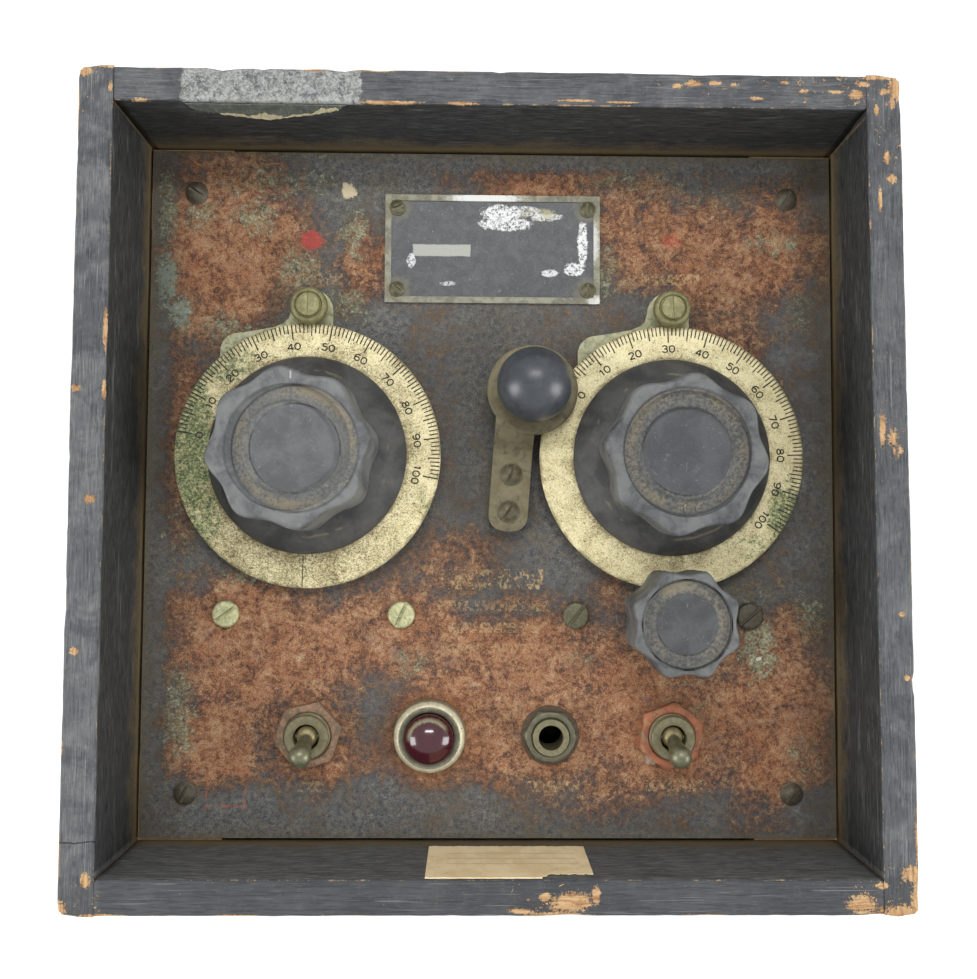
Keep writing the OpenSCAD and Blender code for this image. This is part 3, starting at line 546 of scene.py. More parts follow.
    # rubbed edges, broken corners and flecks show the wood
    wear = m.attr("wear")
    wn = m.noise(0.22, 5, 0.75, 0.3, off=91)
    hi = m.noise(1.5, 5, 0.80, 0.5, off=13)
    mid = m.noise(0.45, 4, 0.7, 0.5, gv, off=15)
    edge = m.step(m.add(wear, m.add(m.mul(m.sub(wn, 0.5), 1.3), m.mul(m.sub(hi, 0.5), 0.5))), 1.015, 1.055)
    fray = m.add(m.mul(hi, 0.85), m.mul(mid, 0.55))
    fray = m.add(m.mul(m.sub(fray, 0.70), 2.3), 0.5)
    chip = m.blobs([(c, tuple(q * 0.86 for q in r)) for c, r in CHIPS], fray, 0.06)
    fl = m.blobs([(c[:2], r, w) for c, r, w in FLECKY], wn, 0.5)
    fn = m.noise(0.62, 6, 0.78, 0.7, off=97)
    fleck = m.mul(m.step(m.add(fn, m.mul(fl, 0.075)), 0.665, 0.68), m.mul(rim, m.step(fl, 0.05, 0.3)))
    raw = m.mx(m.mx(chip, edge), fleck)
    ring = m.noise(1.3, 4, 0.6, 0.5, m.vmul(m.P, k2), off=19)
    wood = m.ramp(m.add(m.mul(ring, 0.75), m.mul(speck, 0.25)), [(0.34, RAW_B), (0.45, RAW_A), (0.58, RAW_C), (0.70, (0.42, 0.24, 0.12))])
    wood = m.mix(m.mul(m.step(m.noise(0.8, 5, 0.75, off=29), 0.54, 0.66), 0.6), wood, (0.22, 0.12, 0.055))
    wood = m.mix(m.mul(edge, m.sub(1.0, m.mx(chip, fleck))), wood, m.mix(ring, (0.22, 0.15, 0.09), (0.50, 0.33, 0.18)))
    col = m.mix(raw, base, wood)
    if axis == "y":
        cy = m.add(m.sub(m.Y, -84.4), m.mul(m.sub(m.noise(0.35, 3, 0.5, off=61), 0.5), 1.2))
        crack = m.mul(m.step(m.op("ABSOLUTE", cy), 0.08, 0.24, 1.0, 0.0), m.mul(rim, m.step(m.X, -92, -93, 0.0, 1.0)))
        col = m.mix(m.mul(crack, 0.85), col, (0.008, 0.008, 0.008))
    backf = m.step(m.Z, 0.2, 0.8, 1.0, 0.0)
    col = m.mix(m.mul(backf, 0.5), col, (0.10, 0.085, 0.065))
    line = m.mul(m.mul(m.step(m.op("ABSOLUTE", m.sub(m.sub(ax, IN_X / MM), m.sub(ay, IN_Y / MM))), 0.15, 0.55, 1.0, 0.0), inside), m.step(mott, 0.40, 0.55))
    col = m.mix(m.mul(line, 0.7), col, (0.19, 0.125, 0.060))
    m.set(base=col, rough=m.fmix(raw, m.fmix(speck, 0.50, 0.72), 0.88), spec=0.22)
    h = m.add(m.mul(grain, -1.3), m.mul(m.sub(1.0, pit), 0.35))
    h = m.add(h, m.mul(m.sub(1.0, raw), 1.0))
    h = m.add(h, m.mul(fine, -0.4))
    m.set(normal=m.bump(h, 0.6, 0.30))
    return m


def rusty_panel():
    m = Mat("panel_finish")
    w1 = m.noise(0.055, 5, 0.62, 0.7, off=2)
    co = m.noise(0.20, 5, 0.70, 0.6, off=9)
    me = m.noise(0.75, 5, 0.74, 0.4, off=15)
    fine = m.noise(2.6, 4, 0.75, off=21)
    fin2 = m.noise(2.9, 4, 0.75, off=121)
    micro = m.noise(7.0, 3, 0.75, off=27)
    # old black wrinkle paint, greyed and freckled
    pt = m.add(m.mul(me, 0.45), m.add(m.mul(fine, 0.40), m.mul(micro, 0.30)))
    paint = m.ramp(pt, [(0.44, (0.028, 0.028, 0.031)), (0.53, (0.074, 0.075, 0.079)), (0.595, (0.128, 0.127, 0.124)), (0.65, (0.205, 0.195, 0.160)), (0.73, (0.36, 0.335, 0.25))])
    brown = m.step(m.add(m.mul(co, 0.6), m.mul(me, 0.4)), 0.50, 0.62)
    paint = m.mix(m.mul(brown, 0.42), paint, (0.115, 0.082, 0.052))
    tint = m.step(m.add(m.mul(w1, 0.55), m.mul(co, 0.45)), 0.46, 0.60)
    paint = m.mix(m.mul(tint, 0.34), paint, m.mix(fine, (0.060, 0.042, 0.026), (0.200, 0.150, 0.090)))
    # where the rust is
    R = [((-71, 66), (20, 26)), ((-84, 16), (6, 34), 0.7), ((-60, -43), (30, 19)), ((-26, -38), (22, 13), 0.85), ((8, -46), (30, 15), 0.95),
         ((40, -62), (20, 22)), ((74, -60), (19, 26)), ((66, 66), (25, 18)), ((40, 72), (16, 16), 0.8), ((0, -66), (14, 12), 0.9), ((30, -80), (34, 7), 0.5), ((87, 34), (5, 20), 0.5), ((14, 82), (14, 7), 0.9),
         ((-35, 62), (6, 12), 0.8), ((-16, -66), (12, 14), 1.0), ((16, -66), (14, 14), 0.85), ((-48, -66), (18, 17), 0.85), ((-72, -66), (14, 14), 1.0),
         ((-10, -20), (13, 9), 0.55), ((34, -28), (8, 8), 0.5), ((64, 42), (10, 9), 0.7), ((-30, -72), (10, 6), 0.5), ((47, 60), (14, 8), 0.7), ((58, -16), (10, 8), 0.7), ((16, 30), (5, 5), 0.5), ((10, 84), (26, 5), 0.5)]
    where = m.blobs(R, m.noise(0.075, 5, 0.66, 0.5, off=45), 0.55)
    dark = m.blobs([((-34, 84), (16, 10)), ((30, 90), (60, 2.8)), ((-36, -84), (46, 8)), ((0, 30), (9, 34), 0.9), ((20, -10), (12, 14), 0.6), ((60, 80), (12, 8), 0.7),
                    ((-32, 40), (10, 8), 0.8), ((-90, -4), (4.0, 90), 0.95), ((88, 20), (5, 40), 0.85), ((0, -92.0), (90, 2.0), 0.85), ((62, -84), (22, 5), 0.4), ((-34, -62), (12, 5), 0.5), ((-62, -10), (20, 8), 0.2), ((86, -84), (8, 8), 0.6)], w1, 0.5)
    rust = m.sub(m.add(m.mul(where, 0.92), m.mul(m.sub(co, 0.41), 1.5)), m.mul(dark, 0.50))
    rust = m.add(rust, m.add(m.mul(m.sub(me, 0.5), 2.0), m.mul(m.sub(fine, 0.5), 2.2)))
    rmask = m.step(rust, 0.08, 0.98)
    tone = m.add(m.mul(co, 0.30), m.add(m.mul(me, 0.32), m.add(m.mul(fin2, 0.34), m.mul(micro, 0.24))))
    rc = m.ramp(tone, [(0.49, (0.075, 0.040, 0.029)), (0.545, (0.165, 0.072, 0.042)), (0.595, (0.300, 0.128, 0.062)), (0.635, (0.390, 0.195, 0.100)), (0.675, (0.430, 0.290, 0.165)), (0.72, (0.56, 0.48, 0.31))])
    hot = m.step(m.add(m.mul(w1, 0.6), m.mul(me, 0.4)), 0.50, 0.60)
    rc = m.mix(m.mul(hot, 0.45), rc, m.mix(m.step(fin2, 0.40, 0.62), (0.230, 0.074, 0.032), (0.430, 0.180, 0.080)))
    plum = m.step(m.noise(0.16, 5, 0.7, 0.4, off=173), 0.56, 0.66)
    rc = m.mix(m.mul(plum, 0.40), rc, m.mix(fine, (0.105, 0.075, 0.070), (0.25, 0.19, 0.165)))
    halo = m.blobs([((-15.9, -64.8), (12.5, 12.5)), ((47.9, -64.8), (10.5, 11.0), 0.7)], co, 0.35)
    rc = m.mix(m.mul(halo, 0.45), rc, m.mix(fin2, (0.26, 0.085, 0.030), (0.46, 0.20, 0.08)))
    rmask = m.mx(rmask, m.mul(halo, m.step(fine, 0.42, 0.52)))
    col = m.mix(rmask, paint, rc)
    # grey olive dust stippled over everything
    stip = m.step(m.add(m.mul(fin2, 0.7), m.mul(me, 0.3)), 0.50, 0.62)
    ol = m.noise(0.09, 5, 0.7, 0.4, off=87)
    col = m.mix(m.mul(stip, m.fmix(m.step(ol, 0.42, 0.60), 0.16, 0.58)), col, m.mix(me, (0.185, 0.172, 0.110), (0.33, 0.315, 0.215)))
    dk = m.step(m.noise(1.9, 5, 0.8, 0.3, off=89), 0.36, 0.43, 1.0, 0.0)
    col = m.mix(m.mul(dk, 0.50), col, (0.028, 0.023, 0.018))
    # olive and pale green bloom
    G = [((-88, 57), (3.6, 9)), ((-84, 47), (4, 6)), ((-64, 74), (6, 6), 0.8), ((-52, 58), (7, 8), 0.8), ((-71, 43), (8, 5), 0.8), ((-80, 74), (6, 5), 0.7),
         ((-38, 50), (6, 5), 0.8), ((-48, 84), (7, 4), 0.6), ((72, -42), (6, 9), 1.0), ((86, -33), (5, 7), 0.9), ((76, 68), (10, 4), 0.7), ((-20, -46), (6, 4), 0.7),
         ((-88, 75), (3, 12), 0.9), ((-82, -60), (5, 14), 0.8), ((84, 50), (5, 8), 0.6), ((56, -28), (6, 3), 0.6), ((-62, -22), (9, 4), 0.8), ((50, -60), (12, 7), 0.6),
         ((-38, 70), (4, 9), 0.9), ((24, -45), (6, 3), 0.5), ((60, 80), (9, 3), 0.5), ((84, -70), (5, 10), 0.6), ((-58, 92), (28, 2.0), 0.6), ((40, 84), (16, 5), 0.6), ((-60, 84), (16, 6), 0.6), ((30, 60), (6, 10), 0.7), ((-82, -10), (6, 20), 0.5), ((70, -26), (12, 6), 0.5)]
    gw = m.blobs(G, m.noise(0.14, 5, 0.7, 0.6, off=57), 0.6)
    gn = m.add(m.mul(m.noise(0.50, 6, 0.80, 0.6, off=63), 0.6), m.mul(m.noise(1.9, 5, 0.8, off=65), 0.4))
    gm = m.step(m.add(m.mul(gw, 0.15), gn), 0.590, 0.650)
    gm = m.mul(gm, m.step(gw, 0.08, 0.35))
    gcol = m.ramp(m.noise(1.3, 5, 0.75, off=67), [(0.34, (0.13, 0.125, 0.065)), (0.47, (0.25, 0.25, 0.155)), (0.58, (0.42, 0.42, 0.29)), (0.70, (0.62, 0.58, 0.42))])
    mint = m.blobs([((-88, 57), (4.2, 9)), ((-84, 49), (3, 5))], me, 0.5)
    gcol = m.mix(m.mul(mint, 0.75), gcol, m.mix(fine, (0.20, 0.30, 0.25), (0.50, 0.60, 0.48)))
    col = m.mix(m.mul(gm, 0.88), col, gcol)
    # small pale freckles and bright dust grains
    sp = m.step(m.noise(2.2, 4, 0.85, off=81), 0.655, 0.70)
    col = m.mix(m.mul(sp, 0.60), col, (0.40, 0.37, 0.25))
    gr = m.step(m.noise(1.05, 3, 0.9, off=83), 0.735, 0.755)
    col = m.mix(m.mul(gr, 0.85), col, (0.70, 0.68, 0.62))
    pale = m.blobs([((-39.1, 81.2), (1.9, 2.0)), ((-40.0, 83.0), (0.9, 0.8)), ((-37.8, 80.6), (1.2, 0.7))], m.noise(1.2, 4, 0.7, off=5), 0.15)
    col = m.mix(pale, col, m.mix(fine, (0.36, 0.27, 0.13), (0.80, 0.72, 0.52)))
    flk = m.blobs([((41.6, -67.3), (1.2, 1.5)), ((71.8, -44.6), (0.7, 0.5)), ((-72, -33), (0.4, 0.3)), ((84.2, 93), (0.5, 0.4)), ((43.2, -70.0), (2.0, 2.4), 0.5)], m.noise(1.4, 4, 0.7, off=6), 0.2)
    col = m.mix(flk, col, (0.74, 0.68, 0.55))
    # red paint: two dots and a thin square
    reddots = m.blobs([((-48.9, 67.6), (2.9, 2.9))], m.noise(0.7, 3, 0.6, off=8), 0.10)
    redb = m.mul(m.blobs([((48.8, 68.4), (2.6, 1.9))], m.noise(0.7, 3, 0.6, off=12), 0.15), m.step(fine, 0.42, 0.56))
    col = m.mix(m.mul(reddots, 0.92), col, m.mix(fine, (0.38, 0.055, 0.045), (0.62, 0.13, 0.10)))
    col = m.mix(m.mul(redb, 0.9), col, (0.44, 0.075, 0.045))
    q = m.mul(m.sub(m.noise(0.25, 4, 0.6, off=14), 0.5), 1.4)
    X2, Y2 = m.add(m.X, q), m.add(m.Y, q)
    frx = m.step(m.op("ABSOLUTE", m.sub(m.op("ABSOLUTE", m.add(X2, 69.5)), 5.0)), 0.15, 0.38, 1.0, 0.0)
    fry = m.step(m.op("ABSOLUTE", m.sub(m.op("ABSOLUTE", m.add(Y2, 79.0)), 4.6)), 0.15, 0.38, 1.0, 0.0)
    inx = m.step(m.op("ABSOLUTE", m.add(m.X, 69.5)), 5.2, 5.8, 1.0, 0.0)
    iny = m.step(m.op("ABSOLUTE", m.add(m.Y, 79.0)), 4.8, 5.4, 1.0, 0.0)
    sq = m.mul(m.mx(m.mul(frx, iny), m.mul(fry, inx)), m.step(m.noise(0.55, 5, 0.75, off=18), 0.46, 0.56))
    col = m.mix(m.mul(sq, 0.60), col, (0.46, 0.13, 0.07))
    # flakes of gold paint, rubbed past reading
    GOLD = [(-13.3, 14.0, -26.4, -21.0, 0.62, 1.0), (-14.3, 15.4, -32.2, -29.4, 0.95, 0.75), (-11.1, 12.4, -37.9, -35.2, 0.95, 0.85), (-12.6, 13.2, -43.4, -40.8, 0.95, 0.6),
            (-55.0, -40.6, 55.4, 58.6, 0.85, 0.8), (40.4, 56.4, 56.2, 59.3, 0.85, 0.9), (-50.0, -45.0, -53.0, -50.6, 0.95, 0.7), (-51.2, -43.9, -79.8, -77.0, 0.9, 0.7),
            (9.6, 23.7, -79.8, -76.9, 0.9, 0.9), (41.4, 56.4, -79.6, -76.6, 0.9, 0.95), (45.0, 56.0, -51.9, -50.0, 0.95, 0.7)]
    gv = m.vmul(m.P, (1.0, 0.75, 1.0))
    for i, (x0, x1, y0, y1, sc, amt) in enumerate(GOLD):
        box = m.rect(x0, x1, y0, y1, 0.10)
        dash = m.step(m.noise(sc * 1.25, 4, 0.75, 0.5, gv, off=101 + 7 * i), 0.515, 0.56)
        hole = m.step(m.add(m.mul(me, 0.5), m.mul(fine, 0.5)), 0.555 - 0.06 * (1 - amt), 0.59 - 0.06 * (1 - amt), 1.0, 0.0)
        gm2 = m.mul(m.mul(box, dash), m.mul(hole, amt))
        col = m.mix(m.mul(gm2, 0.88), col, m.mix(fine, (0.36, 0.22, 0.10), (0.72, 0.55, 0.29)))
    # painted shade: the middle and the outer margins are darker
    shade = m.mx(m.mul(m.step(m.add(m.op("ABSOLUTE", m.X), m.mul(m.sub(co, 0.5), 14)), 79, 89), 0.42), m.mul(m.blobs([((0, 14), (11, 44))], co, 0.5), 0.30))
    col = m.mix(shade, col, m.mix(fine, (0.018, 0.016, 0.012), (0.075, 0.064, 0.045)))
    # brown dirt along the walls
    ex = m.mx(m.sub(m.op("ABSOLUTE", m.X), 88.5), m.sub(m.op("ABSOLUTE", m.Y), 88.2))
    rimd = m.step(m.add(ex, m.mul(m.sub(me, 0.5), 5.0)), 0.8, 3.6)
    col = m.mix(m.mul(rimd, m.mul(m.fmix(m.step(fine, 0.42, 0.6), 0.4, 1.0), 0.60)), col, (0.13, 0.105, 0.060))
    m.set(base=col, rough=m.fmix(rmask, m.fmix(fine, 0.50, 0.70), 0.85), spec=0.25)
    h = m.add(m.mul(m.mul(m.add(me, fine), 0.9), m.fmix(rmask, 0.55, 1.0)), m.mul(rmask, 0.35))
    h = m.add(h, m.add(m.mul(micro, 0.25), m.mul(gm, 0.40)))
    m.set(normal=m.bump(h, 0.85, 0.30))
    return m


def dial_face(name, c, green, clean):
    """Silvered brass ring gone yellow, freckled with dark pits. clean: 0 pitted all over, 1 smoother."""
    m = Mat(name)
    w = m.noise(0.20, 5, 0.7, 0.5, off=4)
    dx, dy = m.sub(m.X, c.x / MM), m.sub(m.Y, c.y / MM)
    r = m.op("SQRT", m.add(m.mul(dx, dx), m.mul(dy, dy)))
    f = m.noise(1.8, 4, 0.7, off=44)
    base = m.mix(m.step(w, 0.35, 0.66), (0.80, 0.71, 0.42), (0.68, 0.585, 0.32))
    base = m.mix(m.mul(m.step(f, 0.50, 0.66), 0.45), base, (0.78, 0.735, 0.50))
    base = m.mix(m.mul(m.step(f, 0.36, 0.48, 1.0, 0.0), 0.35), base, (0.36, 0.29, 0.12))
    low = m.step(m.add(m.mul(dx, -0.35), m.mul(dy, -0.9)), -6, 30)
    inner = m.step(r, 27.0, 31.0, 1.0, 0.0)
    lift = m.add(m.mul(low, 0.055 * (1 - 0.6 * clean)), m.add(m.mul(inner, 0.03), m.mul(m.sub(w, 0.5), 0.22)))
    p1 = m.step(m.add(m.noise(2.6, 3, 0.8, off=14), lift), 0.570 + 0.028 * clean, 0.615 + 0.028 * clean)
    p2 = m.step(m.add(m.noise(1.35, 4, 0.8, off=16), lift), 0.610 + 0.03 * clean, 0.645 + 0.03 * clean)
    p3 = m.step(m.add(m.noise(4.6, 2, 0.8, off=24), lift), 0.575 + 0.02 * clean, 0.63 + 0.02 * clean)
    pits = m.mx(p2, m.mx(m.mul(p1, 0.85), m.mul(p3, 0.7)))
    base = m.mix(m.mul(pits, 0.88), base, m.mix(f, (0.050, 0.036, 0.016), (0.15, 0.11, 0.045)))
    edge = m.mx(m.step(r, 33.9, 34.8), m.step(m.add(r, m.mul(m.sub(f, 0.5), 2.0)), 26.2, 27.2, 1.0, 0.0))
    base = m.mix(m.mul(edge, m.mul(m.step(w, 0.3, 0.6), 0.65)), base, (0.16, 0.125, 0.060))
    g = m.blobs([((c.x / MM + a, c.y / MM + b), rr, s) for (a, b), rr, s in green], m.noise(0.28, 5, 0.7, 0.5, off=54), 0.6)
    gm = m.step(m.add(m.mul(g, 0.75), m.mul(m.sub(m.noise(0.9, 6, 0.8, off=64), 0.5), 2.0)), 0.42, 0.72)
    gcol = m.ramp(m.noise(1.5, 5, 0.75, off=74), [(0.38, (0.014, 0.042, 0.022)), (0.47, (0.055, 0.105, 0.045)), (0.55, (0.22, 0.26, 0.10)), (0.64, (0.58, 0.55, 0.27))])
    base = m.mix(m.mul(gm, 0.88), base, gcol)
    m.set(base=base, rough=m.fmix(pits, 0.50, 0.85), metal=0.12, spec=0.35)
    m.set(normal=m.bump(m.sub(m.mul(f, 0.3), m.mul(pits, 0.8)), 0.5, 0.10))
    return m


def bakelite(name, c, ann0, ann1, dust=1.0, lo=(0.100, 0.103, 0.106), hi=(0.150, 0.153, 0.155), skirt=True):
    """Black phenolic greyed by handling and dust. Dust lies in the sunk ring between radii ann1 and ann0 (mm) about c."""
    m = Mat(name)
    w = m.noise(0.13, 5, 0.65, 0.4, off=6)
    f = m.noise(1.2, 5, 0.75, off=16)
    mic = m.noise(5.0, 3, 0.75, off=26)
    base = m.mix(m.step(w, 0.35, 0.65), lo, hi)
    base = m.mix(m.mul(m.step(mic, 0.52, 0.72), 0.30), base, (0.24, 0.24, 0.235))
    base = m.mix(m.mul(m.step(f, 0.34, 0.46, 1.0, 0.0), 0.30), base, (0.055, 0.055, 0.058))
    dx, dy = m.sub(m.X, c.x / MM), m.sub(m.Y, c.y / MM)
    r = m.op("SQRT", m.add(m.mul(dx, dx), m.mul(dy, dy)))
    rn = m.add(r, m.mul(m.sub(f, 0.5), 1.6))
    land = m.step(rn, ann0 + 0.1, ann0 + 0.8)
    base = m.mix(m.mul(land, m.mul(m.step(w, 0.30, 0.60), 0.42)), base, (0.23, 0.232, 0.222))
    scuff = m.step(m.noise(0.55, 5, 0.8, 1.2, off=96), 0.60, 0.66)
    base = m.mix(m.mul(scuff, 0.28), base, (0.30, 0.30, 0.28))
    # painted shade: thin dark rings in the creases at the edges of the sunk ring
    for rr, wd, am in ((ann0 + 0.02, 0.40, 0.8), (ann1 - 0.15, 0.30, 0.8)):
        crease_painted_shade = m.mul(m.step(m.noise(0.07, 2, 0.5, off=31 * rr), 0.40, 0.58, 0.25, 1.0), m.step(m.op("ABSOLUTE", m.sub(m.add(r, m.mul(m.sub(mic, 0.5), 0.3)), rr)), 0.10, wd, 1.0, 0.0))
        base = m.mix(m.mul(crease_painted_shade, am), base, (0.012, 0.012, 0.013))
    if dust:
        ann = m.mul(m.step(rn, ann1 - 0.5, ann1 + 0.5), m.step(rn, ann0 - 0.5, ann0 + 0.4, 1.0, 0.0))
        side = m.noise(0.075, 3, 0.6, off=36)
        base = m.mix(m.mul(ann, m.mul(m.step(f, 0.40, 0.60), 0.42)), base, (0.205, 0.190, 0.145))
        tan = m.mul(m.step(m.op("ABSOLUTE", m.sub(rn, ann0 - 1.5)), 0.3, 1.9, 1.0, 0.0), m.step(m.add(m.mul(side, 0.6), m.mul(f, 0.4)), 0.44, 0.58))
        base = m.mix(m.mul(tan, 0.55 * dust), base, m.mix(mic, (0.30, 0.235, 0.130), (0.20, 0.165, 0.10)))
        spots = m.mul(ann, m.step(m.noise(0.7, 5, 0.8, off=46), 0.63, 0.68))
        base = m.mix(m.mul(spots, 0.65 * dust), base, (0.40, 0.27, 0.12))
    nick = m.step(m.noise(0.8, 5, 0.85, off=56), 0.685, 0.72)
    base = m.mix(m.mul(nick, 0.45), base, (0.36, 0.36, 0.34))
    mark = m.mul(m.step(m.op("ABSOLUTE", m.add(dx, 1.2)), 0.10, 0.26, 1.0, 0.0), m.mul(m.step(dy, 16.9, 17.2), m.step(dy, 18.8, 19.1, 1.0, 0.0)))
    if name.endswith("left"):
        base = m.mix(m.mul(mark, 0.85), base, m.mix(mic, (0.34, 0.34, 0.33), (0.50, 0.50, 0.48)))
    if skirt:
        z = m.sub(m.Z, ZP / MM)
        sk = m.step(z, 11.6, 12.6, 1.0, 0.0)
        dirty = m.step(m.add(m.mul(m.noise(0.22, 5, 0.75, off=66), 0.6), m.mul(mic, 0.4)), 0.52, 0.62)
        scol = m.mix(m.step(w, 0.35, 0.65), (0.034, 0.034, 0.034), (0.070, 0.069, 0.065))
        scol = m.mix(m.mul(dirty, 0.35), scol, (0.13, 0.115, 0.085))
        arc = m.mul(m.step(m.op("ABSOLUTE", m.sub(m.add(r, m.mul(m.sub(w, 0.5), 2.0)), 21.6)), 0.12, 0.5, 1.0, 0.0), m.step(m.noise(0.12, 3, 0.6, off=76), 0.52, 0.60))
        scol = m.mix(m.mul(arc, 0.55), scol, (0.20, 0.165, 0.09))
        grains = m.step(m.noise(1.3, 3, 0.9, off=86), 0.70, 0.73)
        scol = m.mix(m.mul(grains, 0.6), scol, (0.40, 0.36, 0.25))
        base = m.mix(sk, base, scol)
    m.set(base=base, rough=m.fmix(f, 0.42, 0.62), spec=0.35)
    m.set(normal=m.bump(m.add(m.mul(f, 0.6), m.mul(mic, 0.35)), 0.35, 0.06))
    return m


def metal(name, a, b, stain=None, stain_amt=0.5, rough=(0.35, 0.6), metallic=0.75, scale=0.5, pits=0.5, bump=0.3, off=0.0, pitcol=(0.03, 0.025, 0.015)):
    m = Mat(name)
    w = m.noise(scale, 5, 0.68, 0.5, off=3 + off)
    f = m.noise(scale * 5, 4, 0.7, off=13 + off)
    base = m.mix(m.step(w, 0.35, 0.65), a, b)
    if stain is not None:
        sm = m.step(m.noise(scale * 1.4, 5, 0.72, 0.6, off=23 + off), 0.62 - 0.25 * stain_amt, 0.80 - 0.25 * stain_amt)
        base = m.mix(m.mul(sm, 0.85), base, stain)
    else:
        sm = 0.0
    pm = m.step(m.noise(3.0, 3, 0.75, off=33 + off), 0.62, 0.70)
    base = m.mix(m.mul(pm, pits), base, pitcol)
    mt = m.fmix(m.mul(pm, pits), metallic, metallic * 0.2)
    if stain is not None:
        mt = m.fmix(m.mul(sm, 0.9), mt, 0.05)
    m.set(base=base, rough=m.fmix(f, *rough), metal=mt, spec=0.5)
    h = m.sub(m.mul(f, 0.6), m.mul(pm, pits))
    m.set(normal=m.bump(h, bump, 0.08))
    return m


def plain(name, a, b, scale=0.3, rough=(0.5, 0.8), metallic=0.0, bump=0.3, stretch=(1, 1, 1), off=0.0, dist=0.08, spec=0.4):
    """Two-tone procedural finish for pieces inside the case."""
    m = Mat(name)
    v = m.vmul(m.P, stretch)
    w = m.noise(scale, 5, 0.65, 0.4, v, off=5 + off)
    f = m.noise(scale * 8, 4, 0.7, 0.0, v, off=15 + off)
    base = m.mix(m.step(m.add(m.mul(w, 0.7), m.mul(f, 0.3)), 0.35, 0.65), a, b)
    m.set(base=base, rough=m.fmix(f, *rough), metal=metallic, spec=spec)
    m.set(normal=m.bump(m.add(f, w), bump, dist))
    return m


M_V = wood_paint("slate_paint_vertical", "y")
M_H = wood_paint("slate_paint_level", "x")
M_PANEL = rusty_panel()
GREEN_L = [((-30, 2), (6, 24), 1.0), ((-27, -16), (6, 10), 0.85), ((-22, 24), (9, 6), 0.8), ((-10, 32), (10, 3), 0.55), ((31, -13), (5, 5), 0.6), ((20, -25), (5, 4), 0.45),
           ((32, 10), (3, 5), 0.35), ((0, -31), (2.5, 4), 0.5), ((-31, -2), (4, 6), 1.0)]
GREEN_R = [((30, -16), (6, 10), 1.0), ((22, -24), (6, 5), 0.7), ((-20, 26), (6, 4), 0.6), ((12, 28), (5, 3), 0.5), ((32, -4), (3, 6), 0.5), ((6, -31), (6, 3), 0.4)]
M_DIAL = {"left": dial_face("dial_face_left", DIAL["left"], GREEN_L, 0.0), "right": dial_face("dial_face_right", DIAL["right"], GREEN_R, 1.0)}
M_BAK = {"left": bakelite("bakelite_left", DIAL["left"], 15.5, 11.1, lo=(0.070, 0.073, 0.075), hi=(0.110, 0.113, 0.114)), "right": bakelite("bakelite_right", DIAL["right"], 15.5, 11.1, lo=(0.042, 0.044, 0.047), hi=(0.064, 0.066, 0.069)),
         "vern": bakelite("bakelite_small", VERN, 10.8, 7.6, 0.9, lo=(0.044, 0.045, 0.046), hi=(0.070, 0.071, 0.071), skirt=False)}
M_BALL = metal("ball_phenolic", (0.034, 0.038, 0.045), (0.050, 0.055, 0.062), stain=(0.075, 0.078, 0.080), stain_amt=0.35, rough=(0.29, 0.40), metallic=0.0, scale=0.25, pits=0.25, bump=0.12, off=230)
M_LEAF = metal("leaf_brass", (0.135, 0.112, 0.060), (0.185, 0.158, 0.090), stain=(0.060, 0.048, 0.030), stain_amt=0.5, rough=(0.42, 0.62), metallic=0.45, scale=0.25, pits=0.35)
M_BRASS = metal("dull_brass", (0.150, 0.130, 0.072), (0.100, 0.088, 0.052), stain=(0.13, 0.15, 0.085), stain_amt=0.6, rough=(0.40, 0.65), metallic=0.55, scale=0.8, pits=0.6)
M_BRIGHT = metal("green_brass", (0.28, 0.255, 0.120), (0.18, 0.16, 0.070), stain=(0.13, 0.135, 0.058), stain_amt=0.6, rough=(0.38, 0.62), metallic=0.45, scale=0.6, pits=0.75, off=50)
M_EAR = metal("index_brass", (0.47, 0.46, 0.29), (0.35, 0.34, 0.20), stain=(0.125, 0.145, 0.075), stain_amt=0.55, rough=(0.45, 0.7), metallic=0.25, scale=0.4, pits=0.7, off=60)
M_STEEL = metal("dull_steel", (0.070, 0.060, 0.040), (0.115, 0.102, 0.070), stain=(0.075, 0.050, 0.030), stain_amt=0.6, rough=(0.45, 0.7), metallic=0.45, scale=0.7, pits=0.6, off=70)
M_NUT = metal("rusty_nut", (0.22, 0.125, 0.075), (0.33, 0.205, 0.125), stain=(0.12, 0.095, 0.055), stain_amt=0.75, rough=(0.6, 0.85), metallic=0.15, scale=0.45, pits=0.5, bump=0.5, off=80)
M_NUT2 = metal("red_rust_nut", (0.38, 0.130, 0.060), (0.24, 0.085, 0.042), stain=(0.30, 0.27, 0.13), stain_amt=0.45, rough=(0.6, 0.85), metallic=0.1, scale=0.35, pits=0.4, bump=0.7, off=180)
M_WASH = metal("jack_washer", (0.085, 0.052, 0.032), (0.125, 0.082, 0.050), stain=(0.055, 0.048, 0.030), stain_amt=0.6, rough=(0.5, 0.75), metallic=0.25, scale=0.5, pits=0.5, off=190)
M_KSCREW = metal("key_screw_brass", (0.130, 0.110, 0.062), (0.085, 0.072, 0.042), stain=(0.05, 0.042, 0.028), stain_amt=0.5, rough=(0.40, 0.6), metallic=0.5, scale=0.8, pits=0.5, off=210)
M_GREEN = metal("verdigris_screw", (0.58, 0.55, 0.32), (0.42, 0.40, 0.20), stain=(0.20, 0.26, 0.13), stain_amt=0.6, rough=(0.42, 0.62), metallic=0.35, scale=0.7, pits=0.6, off=240)
M_JNUT = metal("plated_nut", (0.110, 0.104, 0.064), (0.160, 0.152, 0.100), stain=(0.10, 0.085, 0.05), stain_amt=0.5, rough=(0.4, 0.62), metallic=0.5, scale=0.6, pits=0.4, off=90)
M_NICK = metal("aged_nickel", (0.255, 0.228, 0.135), (0.190, 0.168, 0.095), stain=(0.12, 0.11, 0.06), stain_amt=0.5, rough=(0.32, 0.55), metallic=0.6, scale=0.7, pits=0.35, off=100)


